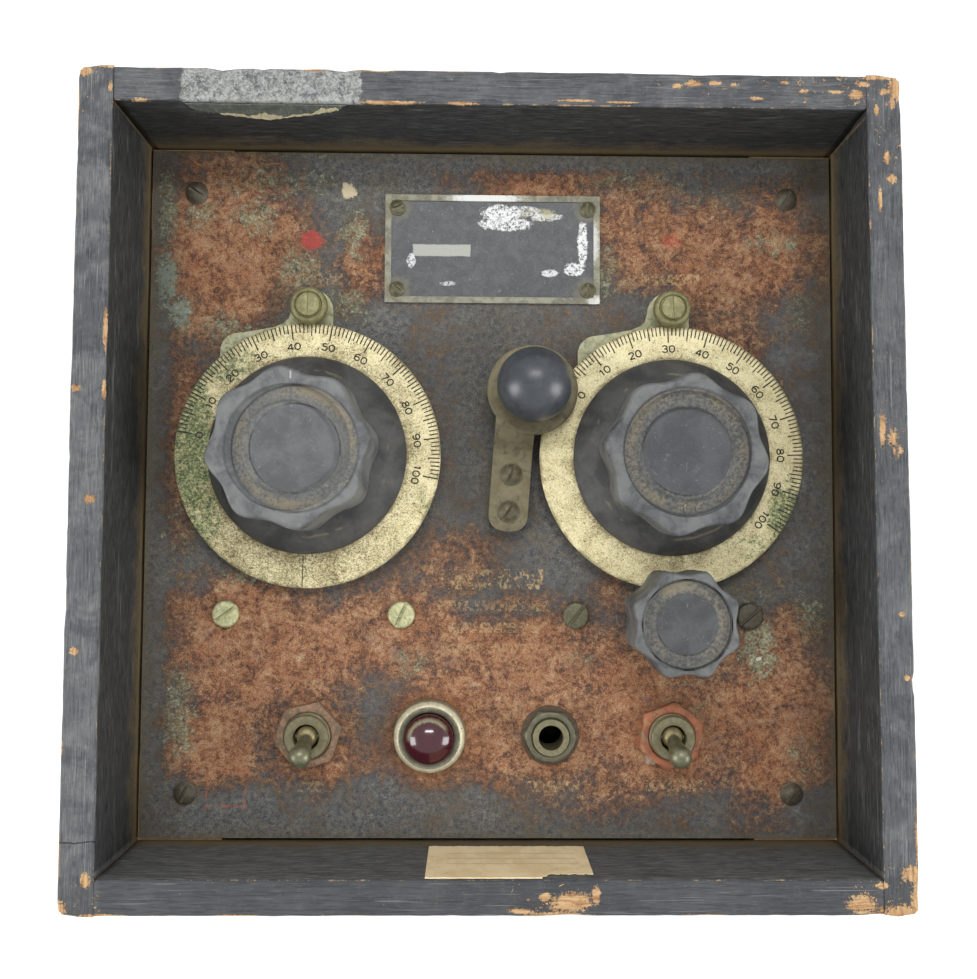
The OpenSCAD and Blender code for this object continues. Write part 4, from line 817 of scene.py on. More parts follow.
def lever_mat():
    """Worn brass ball, dark tarnished bat."""
    m = Mat("lever_nickel")
    z = m.sub(m.Z, ZP / MM)
    w = m.noise(0.6, 5, 0.68, 0.5, off=113)
    f = m.noise(2.6, 4, 0.7, off=123)
    ball = m.mix(m.step(w, 0.38, 0.62), (0.40, 0.33, 0.17), (0.27, 0.215, 0.11))
    bat = m.mix(m.step(w, 0.38, 0.62), (0.21, 0.20, 0.12), (0.135, 0.13, 0.078))
    bat = m.mix(m.mul(m.step(f, 0.54, 0.68), 0.45), bat, (0.24, 0.24, 0.16))
    t = m.step(m.add(z, m.mul(m.sub(w, 0.5), 1.6)), 4.8, 6.4)
    col = m.mix(t, ball, bat)
    col = m.mix(m.mul(m.step(f, 0.30, 0.40, 1.0, 0.0), 0.6), col, (0.030, 0.026, 0.018))
    m.set(base=col, rough=m.fmix(f, 0.30, 0.50), metal=m.fmix(t, 0.45, 0.55), spec=0.5)
    m.set(normal=m.bump(f, 0.25, 0.06))
    return m


def bezel_mat():
    """Plated lamp ring: pale and pitted outside, dark on the slope that holds the jewel."""
    m = Mat("pitted_bezel")
    w = m.noise(0.5, 5, 0.7, 0.5, off=123)
    f = m.noise(2.4, 4, 0.75, off=133)
    c = cen("lamp_bezel")
    dx, dy = m.sub(m.X, c.x / MM), m.sub(m.Y, c.y / MM)
    r = m.op("SQRT", m.add(m.mul(dx, dx), m.mul(dy, dy)))
    rn = m.add(r, m.mul(m.sub(f, 0.5), 0.5))
    out = m.mix(m.step(w, 0.36, 0.64), (0.72, 0.66, 0.46), (0.52, 0.46, 0.30))
    out = m.mix(m.mul(m.step(f, 0.52, 0.66), 0.5), out, (0.70, 0.66, 0.50))
    dark = m.mix(m.step(w, 0.36, 0.64), (0.15, 0.14, 0.095), (0.24, 0.225, 0.155))
    dark = m.mix(m.mul(m.step(f, 0.55, 0.68), 0.5), dark, (0.27, 0.26, 0.19))
    t = m.step(rn, 7.85, 8.20)
    rim = m.step(rn, 9.05, 9.35)
    col = m.mix(t, dark, out)
    col = m.mix(m.mul(rim, 0.75), col, (0.13, 0.11, 0.065))
    pit = m.mx(m.step(m.noise(1.7, 4, 0.8, off=143), 0.60, 0.66), m.mul(m.step(m.noise(3.6, 3, 0.8, off=153), 0.60, 0.68), 0.7))
    col = m.mix(m.mul(pit, 0.85), col, (0.055, 0.045, 0.026))
    m.set(base=col, rough=m.fmix(f, 0.38, 0.62), metal=m.fmix(pit, 0.35, 0.05), spec=0.5)
    m.set(normal=m.bump(m.sub(f, m.mul(pit, 1.2)), 0.45, 0.08))
    return m


def tape_mat(name, a, b, c, off):
    m = Mat(name)
    w = m.noise(0.30, 5, 0.7, 0.6, off=off)
    f = m.noise(1.5, 5, 0.75, off=off + 10)
    s = m.noise(1.8, 4, 0.7, 0.2, m.vmul(m.P, (1.0, 1.0, 0.22)), off=off + 20)
    col = m.mix(m.step(w, 0.36, 0.64), a, b)
    col = m.mix(m.mul(m.step(s, 0.50, 0.66), 0.65), col, c)
    col = m.mix(m.mul(m.step(f, 0.34, 0.44, 1.0, 0.0), 0.5), col, (0.05, 0.05, 0.045))
    m.set(base=col, rough=m.fmix(f, 0.45, 0.75), spec=0.35)
    m.set(normal=m.bump(m.add(w, f), 0.5, 0.08))
    return m


M_LEVER, M_BEZEL = lever_mat(), bezel_mat()
M_TAPE = tape_mat("dried_tape", (0.075, 0.085, 0.072), (0.12, 0.13, 0.112), (0.20, 0.215, 0.185), 11)
M_TORN = tape_mat("torn_paper", (0.52, 0.46, 0.28), (0.62, 0.56, 0.37), (0.34, 0.28, 0.15), 211)


def jewel_mat():
    """Ruby glass, almost black, with a tan crescent on the upper part of the dome: some dust and a painted reflection.
    """
    m = Mat("ruby_jewel")
    f = m.noise(0.6, 4, 0.6, off=5)
    g = m.noise(1.8, 5, 0.75, off=9)
    c = cen("lamp_jewel")
    cx, cy = c.x / MM, c.y / MM
    dx, dy = m.sub(m.X, cx), m.sub(m.Y, cy)
    r = m.op("SQRT", m.add(m.mul(dx, dx), m.mul(dy, dy)))
    col = m.mix(f, (0.034, 0.004, 0.008), (0.062, 0.006, 0.012))
    # painted reflection with some dust: a tan crescent on the upper part of the dome, rougher there
    dust_and_painted_reflection = m.mul(m.step(m.add(r, m.mul(m.sub(g, 0.5), 1.2)), 4.5, 5.1), m.step(m.add(r, m.mul(m.sub(g, 0.5), 1.2)), 5.0, 6.1, 1.0, 0.0))
    dust_and_painted_reflection = m.mul(dust_and_painted_reflection, m.step(m.add(m.mul(dx, -0.25), dy), 0.4, 3.2))
    col = m.mix(m.mul(dust_and_painted_reflection, 0.75), col, m.mix(g, (0.22, 0.19, 0.10), (0.42, 0.38, 0.22)))
    dots = m.step(m.noise(1.4, 4, 0.85, off=19), 0.66, 0.70)
    col = m.mix(m.mul(dots, 0.5), col, (0.30, 0.24, 0.16))
    m.set(base=col, rough=m.fmix(dust_and_painted_reflection, m.fmix(g, 0.10, 0.22), 0.55), spec=0.55, coat=0.4, coat_rough=0.08)
    m.set(normal=m.bump(m.noise(0.9, 3, 0.6, off=7), 0.15, 0.05))
    return m


def plate_mat():
    """Nameplate: black enamel field with worn speckle, bare border, a pale blank box and white paint left on it. No lettering."""
    m = Mat("nameplate_finish")
    cx, cy = cen("nameplate").x / MM, cen("nameplate").y / MM
    f = m.noise(1.6, 5, 0.75, off=2)
    w = m.noise(0.3, 5, 0.7, 0.5, off=12)
    s = m.noise(4.5, 3, 0.75, off=22)
    col = m.mix(m.step(w, 0.35, 0.65), (0.024, 0.025, 0.027), (0.052, 0.054, 0.057))
    col = m.mix(m.mul(m.step(s, 0.59, 0.68), 0.50), col, (0.26, 0.26, 0.25))
    col = m.mix(m.mul(m.step(f, 0.56, 0.66), 0.30), col, (0.17, 0.17, 0.165))
    col = m.mix(m.mul(m.step(m.noise(0.8, 5, 0.8, 0.5, off=32), 0.62, 0.70), 0.6), col, (0.42, 0.42, 0.40))
    # pale blank box
    bx = m.rect(cx - 21.6, cx - 6.0, cy - 2.0, cy + 1.2, 0.15, w, 0.6)
    col = m.mix(m.mul(bx, 0.9), col, m.mix(f, (0.30, 0.30, 0.255), (0.44, 0.44, 0.385)))
    # white paint
    wp = m.blobs([((cx + 2.5, cy + 9.9), (5.6, 2.4)), ((cx + 3.5, cy + 6.9), (7.0, 1.7)), ((cx + 14.5, cy + 9.0), (4.6, 1.0), 0.9), ((cx + 24.5, cy + 1.6), (1.3, 6.4)), ((cx + 22.0, cy - 5.4), (2.6, 1.7)),
                  ((cx + 15.5, cy - 6.4), (2.2, 1.0), 0.8), ((cx - 12.0, cy - 9.5), (2.0, 0.6), 0.6), ((cx - 22.0, cy - 3.4), (1.2, 1.8), 0.8), ((cx + 9, cy + 10.5), (4, 1.4), 0.8)],
                 m.noise(0.75, 6, 0.75, 0.4, off=42), 0.12)
    wm = m.mul(wp, m.step(m.noise(1.3, 5, 0.85, off=52), 0.42, 0.50))
    yel = m.mul(m.blobs([((cx + 12.5, cy + 9.8), (4.5, 1.5))], f, 0.3), m.step(w, 0.45, 0.55))
    col = m.mix(wm, col, m.mix(f, (0.62, 0.62, 0.60), (0.86, 0.86, 0.85)))
    col = m.mix(m.mul(yel, 0.7), col, (0.42, 0.38, 0.20))
    # bare border
    bd = m.sub(1.0, m.rect(cx - 27.4, cx + 27.4, cy - 13.1, cy + 13.1, 0.12))
    bc = m.mix(m.step(w, 0.4, 0.62), (0.235, 0.225, 0.165), (0.125, 0.12, 0.085))
    bc = m.mix(m.mul(m.step(s, 0.55, 0.65), 0.5), bc, (0.37, 0.36, 0.29))
    whit = m.blobs([((cx - 2, cy + 14), (9, 1.6)), ((cx + 27.5, cy - 13.8), (1.8, 1.4)), ((cx + 26, cy + 2), (3, 6), 0.7)], f, 0.3)
    bc = m.mix(m.mul(whit, 0.85), bc, (0.66, 0.66, 0.63))
    col = m.mix(m.mul(bd, m.sub(1.0, m.mul(wm, 0.8))), col, bc)
    # grime by the screws
    gr = m.blobs([((cx + sx * 25.8, cy + sy * 11.1), (3.4, 3.2)) for sx in (-1, 1) for sy in (-1, 1)], m.noise(0.8, 4, 0.7, off=62), 0.4)
    col = m.mix(m.mul(gr, 0.55), col, (0.16, 0.135, 0.075))
    m.set(base=col, rough=m.fmix(bd, 0.42, 0.5), metal=m.mul(bd, 0.35), spec=0.5)
    m.set(normal=m.bump(m.add(f, m.mul(wm, 1.4)), 0.35, 0.06))
    return m


def label_mat():
    m = Mat("old_paper")
    w = m.noise(0.12, 5, 0.7, 0.4, off=1)
    f = m.noise(2.5, 5, 0.75, off=11)
    col = m.mix(m.step(w, 0.38, 0.66), (0.86, 0.70, 0.43), (0.74, 0.57, 0.32))
    col = m.mix(m.mul(m.step(f, 0.55, 0.70), 0.35), col, (0.92, 0.80, 0.55))
    st = m.step(m.noise(0.22, 5, 0.75, 0.6, off=21), 0.60, 0.72)
    col = m.mix(m.mul(st, 0.4), col, (0.26, 0.17, 0.09))
    # three faint ruled lines: a blank form, no words
    zz = m.sub(m.Z, ZP / MM)
    for z0 in (10.5, 14.6, 18.7):
        ln = m.mul(m.step(m.op("ABSOLUTE", m.sub(zz, z0)), 0.10, 0.22, 1.0, 0.0), m.mul(m.step(m.X, -11, -10.5), m.step(m.X, 21, 21.5, 1.0, 0.0)))
        col = m.mix(m.mul(ln, 0.45), col, (0.12, 0.09, 0.06))
    m.set(base=col, rough=0.85, spec=0.2)
    m.set(normal=m.bump(m.add(f, w), 0.35, 0.05))
    return m


M_JEWEL, M_PLATE, M_LABEL = jewel_mat(), plate_mat(), label_mat()
M_FIBRE = plain("black_fibre", (0.018, 0.017, 0.016), (0.040, 0.037, 0.032), 0.5, (0.6, 0.85))
M_MARK = plain("engraved_black", (0.014, 0.011, 0.008), (0.040, 0.032, 0.020), 2.0, (0.6, 0.8))


def slot_mats():
    c = {}
    c["back_wood"] = wood_paint("back_board_paint", "x")
    c["post_wood"] = plain("bare_softwood", (0.40, 0.26, 0.13), (0.55, 0.38, 0.20), 0.5, (0.7, 0.9), stretch=(1, 1, 0.1))
    c["chassis_metal"] = plain("chassis_sheet", (0.42, 0.42, 0.40), (0.55, 0.55, 0.53), 0.25, (0.35, 0.6), 0.8)
    c["plain_steel"] = plain("ground_steel", (0.34, 0.33, 0.30), (0.47, 0.46, 0.43), 0.8, (0.25, 0.5), 0.9)
    c["capacitor_metal"] = plain("capacitor_sheet", (0.48, 0.48, 0.46), (0.62, 0.62, 0.60), 0.4, (0.3, 0.55), 0.85)
    c["black_fibre"] = M_FIBRE
    c["brown_phenolic"] = plain("brown_phenolic", (0.11, 0.055, 0.028), (0.17, 0.09, 0.045), 0.5, (0.35, 0.6))
    c["coil_copper"] = plain("coil_winding", (0.32, 0.14, 0.06), (0.46, 0.23, 0.10), 0.6, (0.3, 0.5), 0.6, stretch=(0.2, 5, 0.2))
    c["transformer_iron"] = plain("transformer_laminations", (0.05, 0.05, 0.055), (0.11, 0.11, 0.115), 0.5, (0.5, 0.8), 0.3, stretch=(0.1, 4, 0.1))
    c["component_body"] = plain("waxed_component", (0.36, 0.20, 0.08), (0.50, 0.32, 0.14), 0.5, (0.35, 0.55))
    c["battery_card"] = plain("battery_card", (0.30, 0.075, 0.05), (0.38, 0.13, 0.08), 0.15, (0.7, 0.9))
    c["wire_cloth"] = plain("cloth_wire", (0.22, 0.21, 0.07), (0.33, 0.31, 0.12), 2.0, (0.8, 0.95))
    g = Mat("clear_glass")
    g.set(base=g.mix(g.noise(0.3, 4, 0.6), (0.80, 0.84, 0.84), (0.88, 0.90, 0.90)), rough=g.fmix(g.noise(1.0, 4, 0.6, off=5), 0.04, 0.12), trans=0.85, ior=1.5)
    c["bulb_glass"] = g
    c["aged_brass"], c["dull_steel"], c["verdigris_brass"] = M_BRASS, M_STEEL, M_EAR
    c["bushing_nickel"], c["lever_nickel"], c["rusty_nut"] = M_NICK, M_LEVER, M_NUT
    c["bezel_nickel"], c["jack_nut_nickel"], c["leaf_brass"] = M_BEZEL, M_JNUT, M_LEAF
    c["rusty_panel"], c["plate_enamel"], c["label_paper"] = M_PANEL, M_PLATE, M_LABEL
    c["ball_plastic"], c["ruby_jewel"], c["bakelite"] = M_BALL, M_JEWEL, M_BAK["left"]
    c["dial_face"], c["case_wood"] = M_DIAL["left"], M_V
    return c


SLOTS = slot_mats()
SLOT_OF = {s["node"]: s["material_slot"] for s in frame["record"]["subparts"]}
for name, o in N.items():
    mt = SLOTS.get(SLOT_OF.get(name)) or M_FIBRE
    if name.startswith("right_dial"):
        mt = M_DIAL["right"]
    o.data.materials.clear()
    o.data.materials.append(mt.m)


# ------------------------------------------------------------------ case boards
def axis_lines(a, b, r, step):
    inner = list(np.linspace(a + r, b - r, max(2, int(round((b - a - 2 * r) / step)) + 1)))
    return [a, a + 0.12 * r, a + 0.35 * r, a + 0.65 * r] + inner + [b - 0.65 * r, b - 0.35 * r, b - 0.12 * r, b]


DENTS = [((-66.5, 101.6), (3.4, 3), 0.75), ((-57.0, 101.6), (2.0, 3), 0.45), ((-37.5, 101.6), (3.2, 3), 0.75), ((-28.0, 101.6), (2.6, 3), 0.4), ((50, 101.6), (5, 2), 0.35), ((101.6, -47), (2.5, 3), 0.6),
         ((18, -101.6), (6, 2.5), 0.4), ((92, -101.6), (4, 2.5), 0.5), ((101.6, -96), (2.5, 5), 0.45), ((95.2, 13), (1.8, 4.5), 0.35), ((-101.6, -30), (2, 5), 0.3), ((101.6, 96), (2.5, 4), 0.4)]


def board(name, node, mat, rad, step=2.0, seed=1.0, extra=((), (), ())):
    """A board with worn, rounded edges, kept inside the case's outer box; the back board is kept inside its own CAD
    box. rad: ((x-, x+), (y-, y+), (z-, z+)) rounding in mm.
    """
    lo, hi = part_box(node)
    lo, hi = np.array(lo) / MM, np.array(hi) / MM
    ls = [sorted(set([float(q) for q in axis_lines(lo[i], hi[i], max(rad[i]), step)] + [float(q) for q in extra[i]])) for i in range(3)]
    n = [len(l) for l in ls]
    idx, verts, faces = {}, [], []

    def vid(i, j, k):
        key = (i, j, k)
        if key not in idx:
            idx[key] = len(verts)
            verts.append((ls[0][i], ls[1][j], ls[2][k]))
        return idx[key]
    for ax in range(3):
        u, v = [(1, 2), (2, 0), (0, 1)][ax]
        for side in (0, n[ax] - 1):
            for a in range(n[u] - 1):
                for b in range(n[v] - 1):
                    q = []
                    for da, db in ((0, 0), (1, 0), (1, 1), (0, 1)):
                        t = [0, 0, 0]
                        t[ax], t[u], t[v] = side, a + da, b + db
                        q.append(vid(*t))
                    faces.append(q if side else q[::-1])
    P = np.array(verts)
    mid = (lo + hi) / 2
    neg = P < mid
    R = np.where(neg, [rad[0][0], rad[1][0], rad[2][0]], [rad[0][1], rad[1][1], rad[2][1]])
    inx, iny = IN_X / MM, IN_Y / MM
    if "side" in node:                                # beside the end boards the inner edge is a tight joint
        inner = (P[:, 0] > mid[0]) if mid[0] < 0 else (P[:, 0] < mid[0])
        t = np.clip((iny - np.abs(P[:, 1])) / 0.8, 0, 1)
        R[:, 0] = np.where(inner, 0.05 + (R[:, 0] - 0.05) * t, R[:, 0])
        R[:, 2] = np.where(inner & (P[:, 2] > mid[2]), 0.05 + (R[:, 2] - 0.05) * t, R[:, 2])
    q = np.clip(P, np.where(neg, lo + R, -1e9), np.where(neg, 1e9, hi - R))
    d = (P - q) / R
    ln = np.linalg.norm(d, axis=1, keepdims=True)
    nrm = d / np.maximum(ln, 1e-9)
    out = q + R * nrm
    # nearness to the case's own edges, 0 to 1
    a = hi[2] - P[:, 2] if "back" not in node else np.full(len(P), 99.0)
    ox, oy = CX / MM - np.abs(P[:, 0]), CY / MM - np.abs(P[:, 1])
    b_out = np.minimum(ox, oy)
    b_in = np.abs(np.maximum(np.abs(P[:, 0]) - inx, np.abs(P[:, 1]) - iny))
    e = np.minimum.reduce([np.maximum(a, b_out), np.maximum(a, b_in), np.maximum(ox, oy), np.maximum(P[:, 2], b_out)])
    wear = np.clip(1 - e / 2.4, 0, 1)
    f1, f2 = fbm(P, 0.035, seed), fbm(P, 0.16, seed + 3)
    push = 0.10 * (f1 - 0.9) + 0.05 * (f2 - 1)
    push -= np.clip(fbm(P, 0.11, seed + 9) - 0.45, 0, 1) * wear * 0.55
    front = np.clip(1 - np.abs(a) / 4.0, 0, 1)
    for (c, rr, dep) in DENTS:
        dd = (P[:, :2] - np.array(c)) / np.array(rr)
        push -= dep * np.clip(1 - np.linalg.norm(dd, axis=1), 0, 1) * front
    push = np.clip(push, -0.95, 0)
    out = out + nrm * push[:, None]
    # case corners rounded in plan
    rc = 2.3
    cx, cy = CX / MM - rc, CY / MM - rc
    dx, dy = np.abs(out[:, 0]) - cx, np.abs(out[:, 1]) - cy
    c2 = (dx > 0) & (dy > 0)
    L = np.hypot(dx, dy)
    kk = np.where(c2 & (L > 1e-6), np.maximum(dx, dy) / np.maximum(L, 1e-6), 1.0)
    out[:, 0] = np.where(c2, np.sign(out[:, 0]) * (cx + dx * kk), out[:, 0])
    out[:, 1] = np.where(c2, np.sign(out[:, 1]) * (cy + dy * kk), out[:, 1])
    # the right wall has warped in at its upper front
    s = np.clip((out[:, 2] - ZP / MM) / 29.2, 0, 1)
    s = s * s * (3 - 2 * s)
    ty = np.clip((out[:, 1] + 101.6) / 203.2, 0, 1)
    tx_ = np.clip((out[:, 0] - 62.0) / (inx - 62.0), 0, 1)
    out[:, 0] -= 1.65 * s * ty * tx_ ** 1.5
    out = np.clip(out, [-CX / MM, -CY / MM, 0.0], [CX / MM, CY / MM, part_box("case_side_left")[1].z / MM])
    if "back" in node:
        out = np.clip(out, lo, hi)
    o = make(name, out * MM, faces, mat, None, sharp=None, merge=False)
    at = o.data.attributes.new("wear", "FLOAT", "POINT")
    at.data.foreach_set("value", wear.astype(np.float32))
    o.data.shade_smooth()
    return place(o, "case", (node,))


E, J = 1.2, 0.05
iy_, ix_ = IN_Y / MM, IN_X / MM
SIDE_Y = [-iy_, -iy_ + 0.4, -iy_ + 0.8, iy_ - 0.8, iy_ - 0.4, iy_]
board("board_left", "case_side_left", M_V, ((E, 0.9), (E, E), (E, 1.1)), seed=1.0, extra=((), SIDE_Y, ()))
board("board_right", "case_side_right", M_V, ((0.9, E), (E, E), (E, 1.1)), seed=1.0, extra=((), SIDE_Y, ()))
board("board_top", "case_top_board", M_H, ((J, J), (0.9, E), (E, 1.1)), seed=1.0)
board("board_bottom", "case_bottom_board", M_H, ((J, J), (E, 0.9), (E, 1.1)), seed=1.0)
board("board_back", "case_back_board", SLOTS["back_wood"], ((0.4, 0.4), (0.4, 0.4), (0.5, 0.5)), step=6, seed=5.0)


def sheet(name, xs, lo_z, hi_z, y0, y1, mat, slot, replaces=()):
    """Thin upright sheet between y0 and y1 (mm), its lower and upper edges given at each x (z from the panel)."""
    V, F = [], []
    nz = 8
    for x, a, b in zip(xs, lo_z, hi_z):
        for y in (y0, y1):
            for k in range(nz + 1):
                z = a + (b - a) * k / nz
                V.append((x * MM, (y + 0.03 * math.sin(3.1 * x + 1.7 * z) * (1 if abs(y1) > abs(y0) and y == y0 else 0)) * MM, ZP + z * MM))
    m = nz + 1
    for i in range(len(xs) - 1):
        a, b = i * 2 * m, (i + 1) * 2 * m
        for k in range(nz):
            F += [(a + k, a + k + 1, b + k + 1, b + k), (a + m + k, b + m + k, b + m + k + 1, a + m + k + 1)]
        F += [(a, b, b + m, a + m), (a + nz, a + m + nz, b + m + nz, b + nz)]
    for i in (0, len(xs) - 1):
        a = i * 2 * m
        for k in range(nz):
            F.append((a + k, a + m + k, a + m + k + 1, a + k + 1))
    return make(name, V, F, mat, "case", slot=slot, replaces=replaces, sharp=40)


def wob(x, f, s):
    return math.sin(x * f + s) * 0.5 + math.sin(x * f * 2.3 + s * 1.7) * 0.3 + math.sin(x * f * 5.1 + s * 2.9) * 0.2


iy = IN_Y / MM
xs = np.arange(-75.7, -36.6, 0.6)
low = np.interp(xs, [-75.7, -74.8, -73.1, -66, -60, -56.7, -52, -46, -40.9, -38.2, -36.7], [28.15, 25.4, 24.3, 22.4, 20.8, 20.0, 21.6, 23.2, 25.2, 26.2, 29.0]) + [0.45 * wob(x, 1.9, 1.0) for x in xs]
sheet("tape_residue", xs, np.minimum(low, 28.0), np.full(len(xs), 28.15) + [0.12 * wob(x, 1.1, 4) for x in xs], iy - 0.22, iy - 0.01, M_TAPE, "label_paper")
for nm, x0, x1, th, sd in (("a", -68.5, -60.5, 1.2, 2.0), ("b", -61.5, -53.0, 3.1, 5.0), ("c", -53.4, -44.5, 0.9, 7.0), ("d", -45.6, -38.4, 2.2, 9.0)):
    xs = np.arange(x0, x1 + 0.01, 0.35)
    t = (xs - x0) / (x1 - x0)
    base = np.interp(xs, [-75.7, -73.1, -66, -60, -56.7, -52, -46, -40.9, -38.2], [25, 24.3, 22.4, 20.8, 20.0, 21.6, 23.2, 25.2, 26.4]) + [0.3 * wob(x, 2.1, sd) for x in xs]
    h = np.maximum(th * np.sin(np.pi * np.clip(t, 0, 1)) ** 0.7 * (1 + 0.35 * np.array([wob(x, 1.5, sd + 1) for x in xs])), 0.12)
    sheet("torn_paper_" + nm, xs, base - 0.35, base - 0.35 + h, iy - 0.36, iy - 0.20, M_TORN, "label_paper")
# paper label on the lower wall, its right end torn short
xs = np.arange(-15.7, 24.51, 0.4)
up = np.where(xs < 12.6, 28.75, 25.9) + np.array([0.10 * wob(x, 1.4, 2) + (0.45 * wob(x, 2.3, 3) if x > 12.6 else 0) for x in xs])
up = np.where((xs > 12.2) & (xs < 13.4), 27.4, up)
lb = np.full(len(xs), 4.4) + [0.22 * (1 + wob(x, 0.9, 5)) for x in xs]
sheet("paper_label_torn", xs, lb, np.minimum(up, 28.8), -iy + 0.25, -iy + 0.01, M_LABEL, "label_paper", ("paper_label",))


# ------------------------------------------------------------------ knobs
def knob(name, c, R, z0, z1, depth, phase, ann_out, ann_in, mat, body, node, step_down, skirt=None, sharpness=0.78, lean=(0.0, 0.0), z_lean=5.5):
    """Fluted knob. Heights are mm above the panel; ann_out and ann_in bound the sunk ring on top; lean: how far the top sits off the axis."""
    prof, kind = [], []

    def add(pts, k):
        for p in pts:
            prof.append(p)
            kind.append(k)
    if skirt:
        add([(0, skirt[0][1])], 0)
        add(skirt, 0)
    else:
        add([(0, z0)], 0)
    # lobed body: underside, wall, small worn edge, flat land
    add([(R - 3.4, z0)], 0.6)
    add([(R - 0.9, z0 + 0.04), (R - 0.30, z0 + 0.25), (R - 0.05, z0 + 0.7)], 1)
    add([(R, z0 + 1.6), (R + 0.02, (z0 + z1) / 2), (R, z1 - 1.7)], 1)
    add([(R - 0.04, z1 - 1.05), (R - 0.16, z1 - 0.62), (R - 0.38, z1 - 0.28), (R - 0.70, z1 - 0.07), (R - 1.10, z1)], 1)
    w = (R - 1.10) - ann_out
    add([(R - 1.10 - 0.35 * w, z1)], 0.72)
    add([(R - 1.10 - 0.68 * w, z1)], 0.35)
    add([(ann_out + 0.28, z1), (ann_out + 0.10, z1 - 0.04), (ann_out, z1 - 0.16), (ann_out - 0.06, z1 - step_down + 0.25), (ann_out - 0.22, z1 - step_down + 0.02)], 0)
    add([(ann_out - 0.7, z1 - step_down - 0.06), ((ann_out + ann_in) / 2, z1 - step_down)], 0)
    add([(ann_in + 0.9, z1 - step_down + 0.10), (ann_in + 0.35, z1 - step_down + 0.36), (ann_in, z1 - 0.52), (ann_in - 0.4, z1 - 0.34), (ann_in - 1.1, z1 - 0.26), (ann_in * 0.6, z1 - 0.24), (ann_in * 0.3, z1 - 0.25), (0.0, z1 - 0.25)], 0)
    ph = math.radians(phase)

    def shape(th, i, rho, z):
        k = kind[i]
        if k <= 0 or rho < 1e-6:
            return rho, z
        t = 0.5 - 0.5 * math.cos(8 * (th - ph))
        t = t ** sharpness
        return rho - depth * k * t, z
    v, f, rings = lathe_data(prof, (c.x, c.y, ZP), 240, shape)
    if lean != (0.0, 0.0):
        for p in v:
            t = max(0.0, ((p.z - ZP) / MM - z_lean) / (z1 - z_lean))
            p.x += lean[0] * t * MM
            p.y += lean[1] * t * MM
    return make(name, v, f, mat, body, slot="bakelite", replaces=(node,), sharp=50)


SK = [(25.7, 5.5), (26.0, 5.75), (25.9, 6.25), (25.3, 6.95), (24.2, 7.9), (22.4, 9.15), (20.4, 10.2), (18.6, 10.9), (17.3, 11.5), (16.9, 12.1)]
SK = [(21.0, 5.5)] + SK
knob("tuning_knob_left", DIAL["left"], 20.35, 12.3, 25.4, 1.85, 98.5, 15.5, 11.1, M_BAK["left"], "left_dial", "left_tuning_knob", 1.45, SK, lean=(-1.9, 0.3), sharpness=0.92)
knob("tuning_knob_right", DIAL["right"], 20.35, 12.3, 25.4, 1.85, 82.0, 15.5, 11.1, M_BAK["right"], "right_dial", "right_tuning_knob", 1.45, SK, lean=(0.1, -0.7), sharpness=0.92)
knob("drive_knob", VERN, 13.8, 7.7, 24.4, 1.6, 23.5, 10.8, 7.6, M_BAK["vern"], "vernier", "vernier_knob", 0.95, None, 0.78)

# ------------------------------------------------------------------ dial rings, graduations and digits
for side in ("left", "right"):
    c = DIAL[side]
    r1, r0, z0 = 34.925, 21.0, 4.5
    prof = [(r0, z0), (r1 - 0.18, z0), (r1, z0 + 0.2), (r1, z0 + 0.72), (r1 - 0.1, z0 + 0.92), (r1 - 0.3, z0 + 1.0), (26.4, z0 + 1.0), (r0, z0 + 1.0)]
    lathe("dial_" + side, prof, (c.x, c.y, ZP), M_DIAL[side], side + "_dial", seg=180, closed=True, slot="dial_face", replaces=(side + "_dial_ring",), sharp=50)

DIGITS = {
    "0": [[(0.0, 0.5), (0.05, 0.8), (0.22, 0.97), (0.38, 0.97), (0.55, 0.8), (0.6, 0.5), (0.55, 0.2), (0.38, 0.03), (0.22, 0.03), (0.05, 0.2), (0.0, 0.5)]],
    "1": [[(0.12, 0.80), (0.32, 1.0)], [(0.32, 1.0), (0.32, 0.0)]],
    "2": [[(0.03, 0.76), (0.10, 0.92), (0.30, 1.0), (0.50, 0.92), (0.57, 0.74), (0.50, 0.55), (0.27, 0.28), (0.02, 0.02)], [(0.0, 0.0), (0.60, 0.0)]],
    "3": [[(0.04, 0.84), (0.18, 0.98), (0.40, 0.98), (0.56, 0.84), (0.54, 0.64), (0.36, 0.53), (0.24, 0.53)], [(0.36, 0.53), (0.56, 0.42), (0.60, 0.22), (0.44, 0.03), (0.18, 0.02), (0.02, 0.16)]],
    "4": [[(0.46, 0.0), (0.46, 1.0)], [(0.44, 0.98), (0.0, 0.30)], [(0.0, 0.30), (0.64, 0.30)]],
    "5": [[(0.55, 1.0), (0.12, 1.0)], [(0.12, 1.0), (0.07, 0.56)], [(0.07, 0.56), (0.26, 0.64), (0.46, 0.60), (0.60, 0.40), (0.56, 0.16), (0.38, 0.01), (0.16, 0.02), (0.02, 0.16)]],
    "6": [[(0.52, 0.90), (0.36, 1.0), (0.18, 0.92), (0.04, 0.66), (0.02, 0.30), (0.14, 0.06), (0.32, 0.0), (0.50, 0.08), (0.60, 0.28), (0.52, 0.50), (0.34, 0.58), (0.14, 0.50), (0.03, 0.34)]],
    "7": [[(0.0, 1.0), (0.60, 1.0)], [(0.60, 1.0), (0.24, 0.0)]],
    "8": [[(0.30, 0.54), (0.10, 0.64), (0.07, 0.82), (0.20, 0.98), (0.40, 0.98), (0.53, 0.82), (0.50, 0.64), (0.30, 0.54), (0.08, 0.42), (0.01, 0.22), (0.14, 0.03), (0.46, 0.03), (0.59, 0.22), (0.52, 0.42), (0.30, 0.54)]],
    "9": [[(0.08, 0.10), (0.24, 0.0), (0.42, 0.08), (0.56, 0.34), (0.58, 0.70), (0.46, 0.94), (0.28, 1.0), (0.10, 0.92), (0.0, 0.72), (0.08, 0.50), (0.26, 0.42), (0.46, 0.50), (0.57, 0.66)]],
}


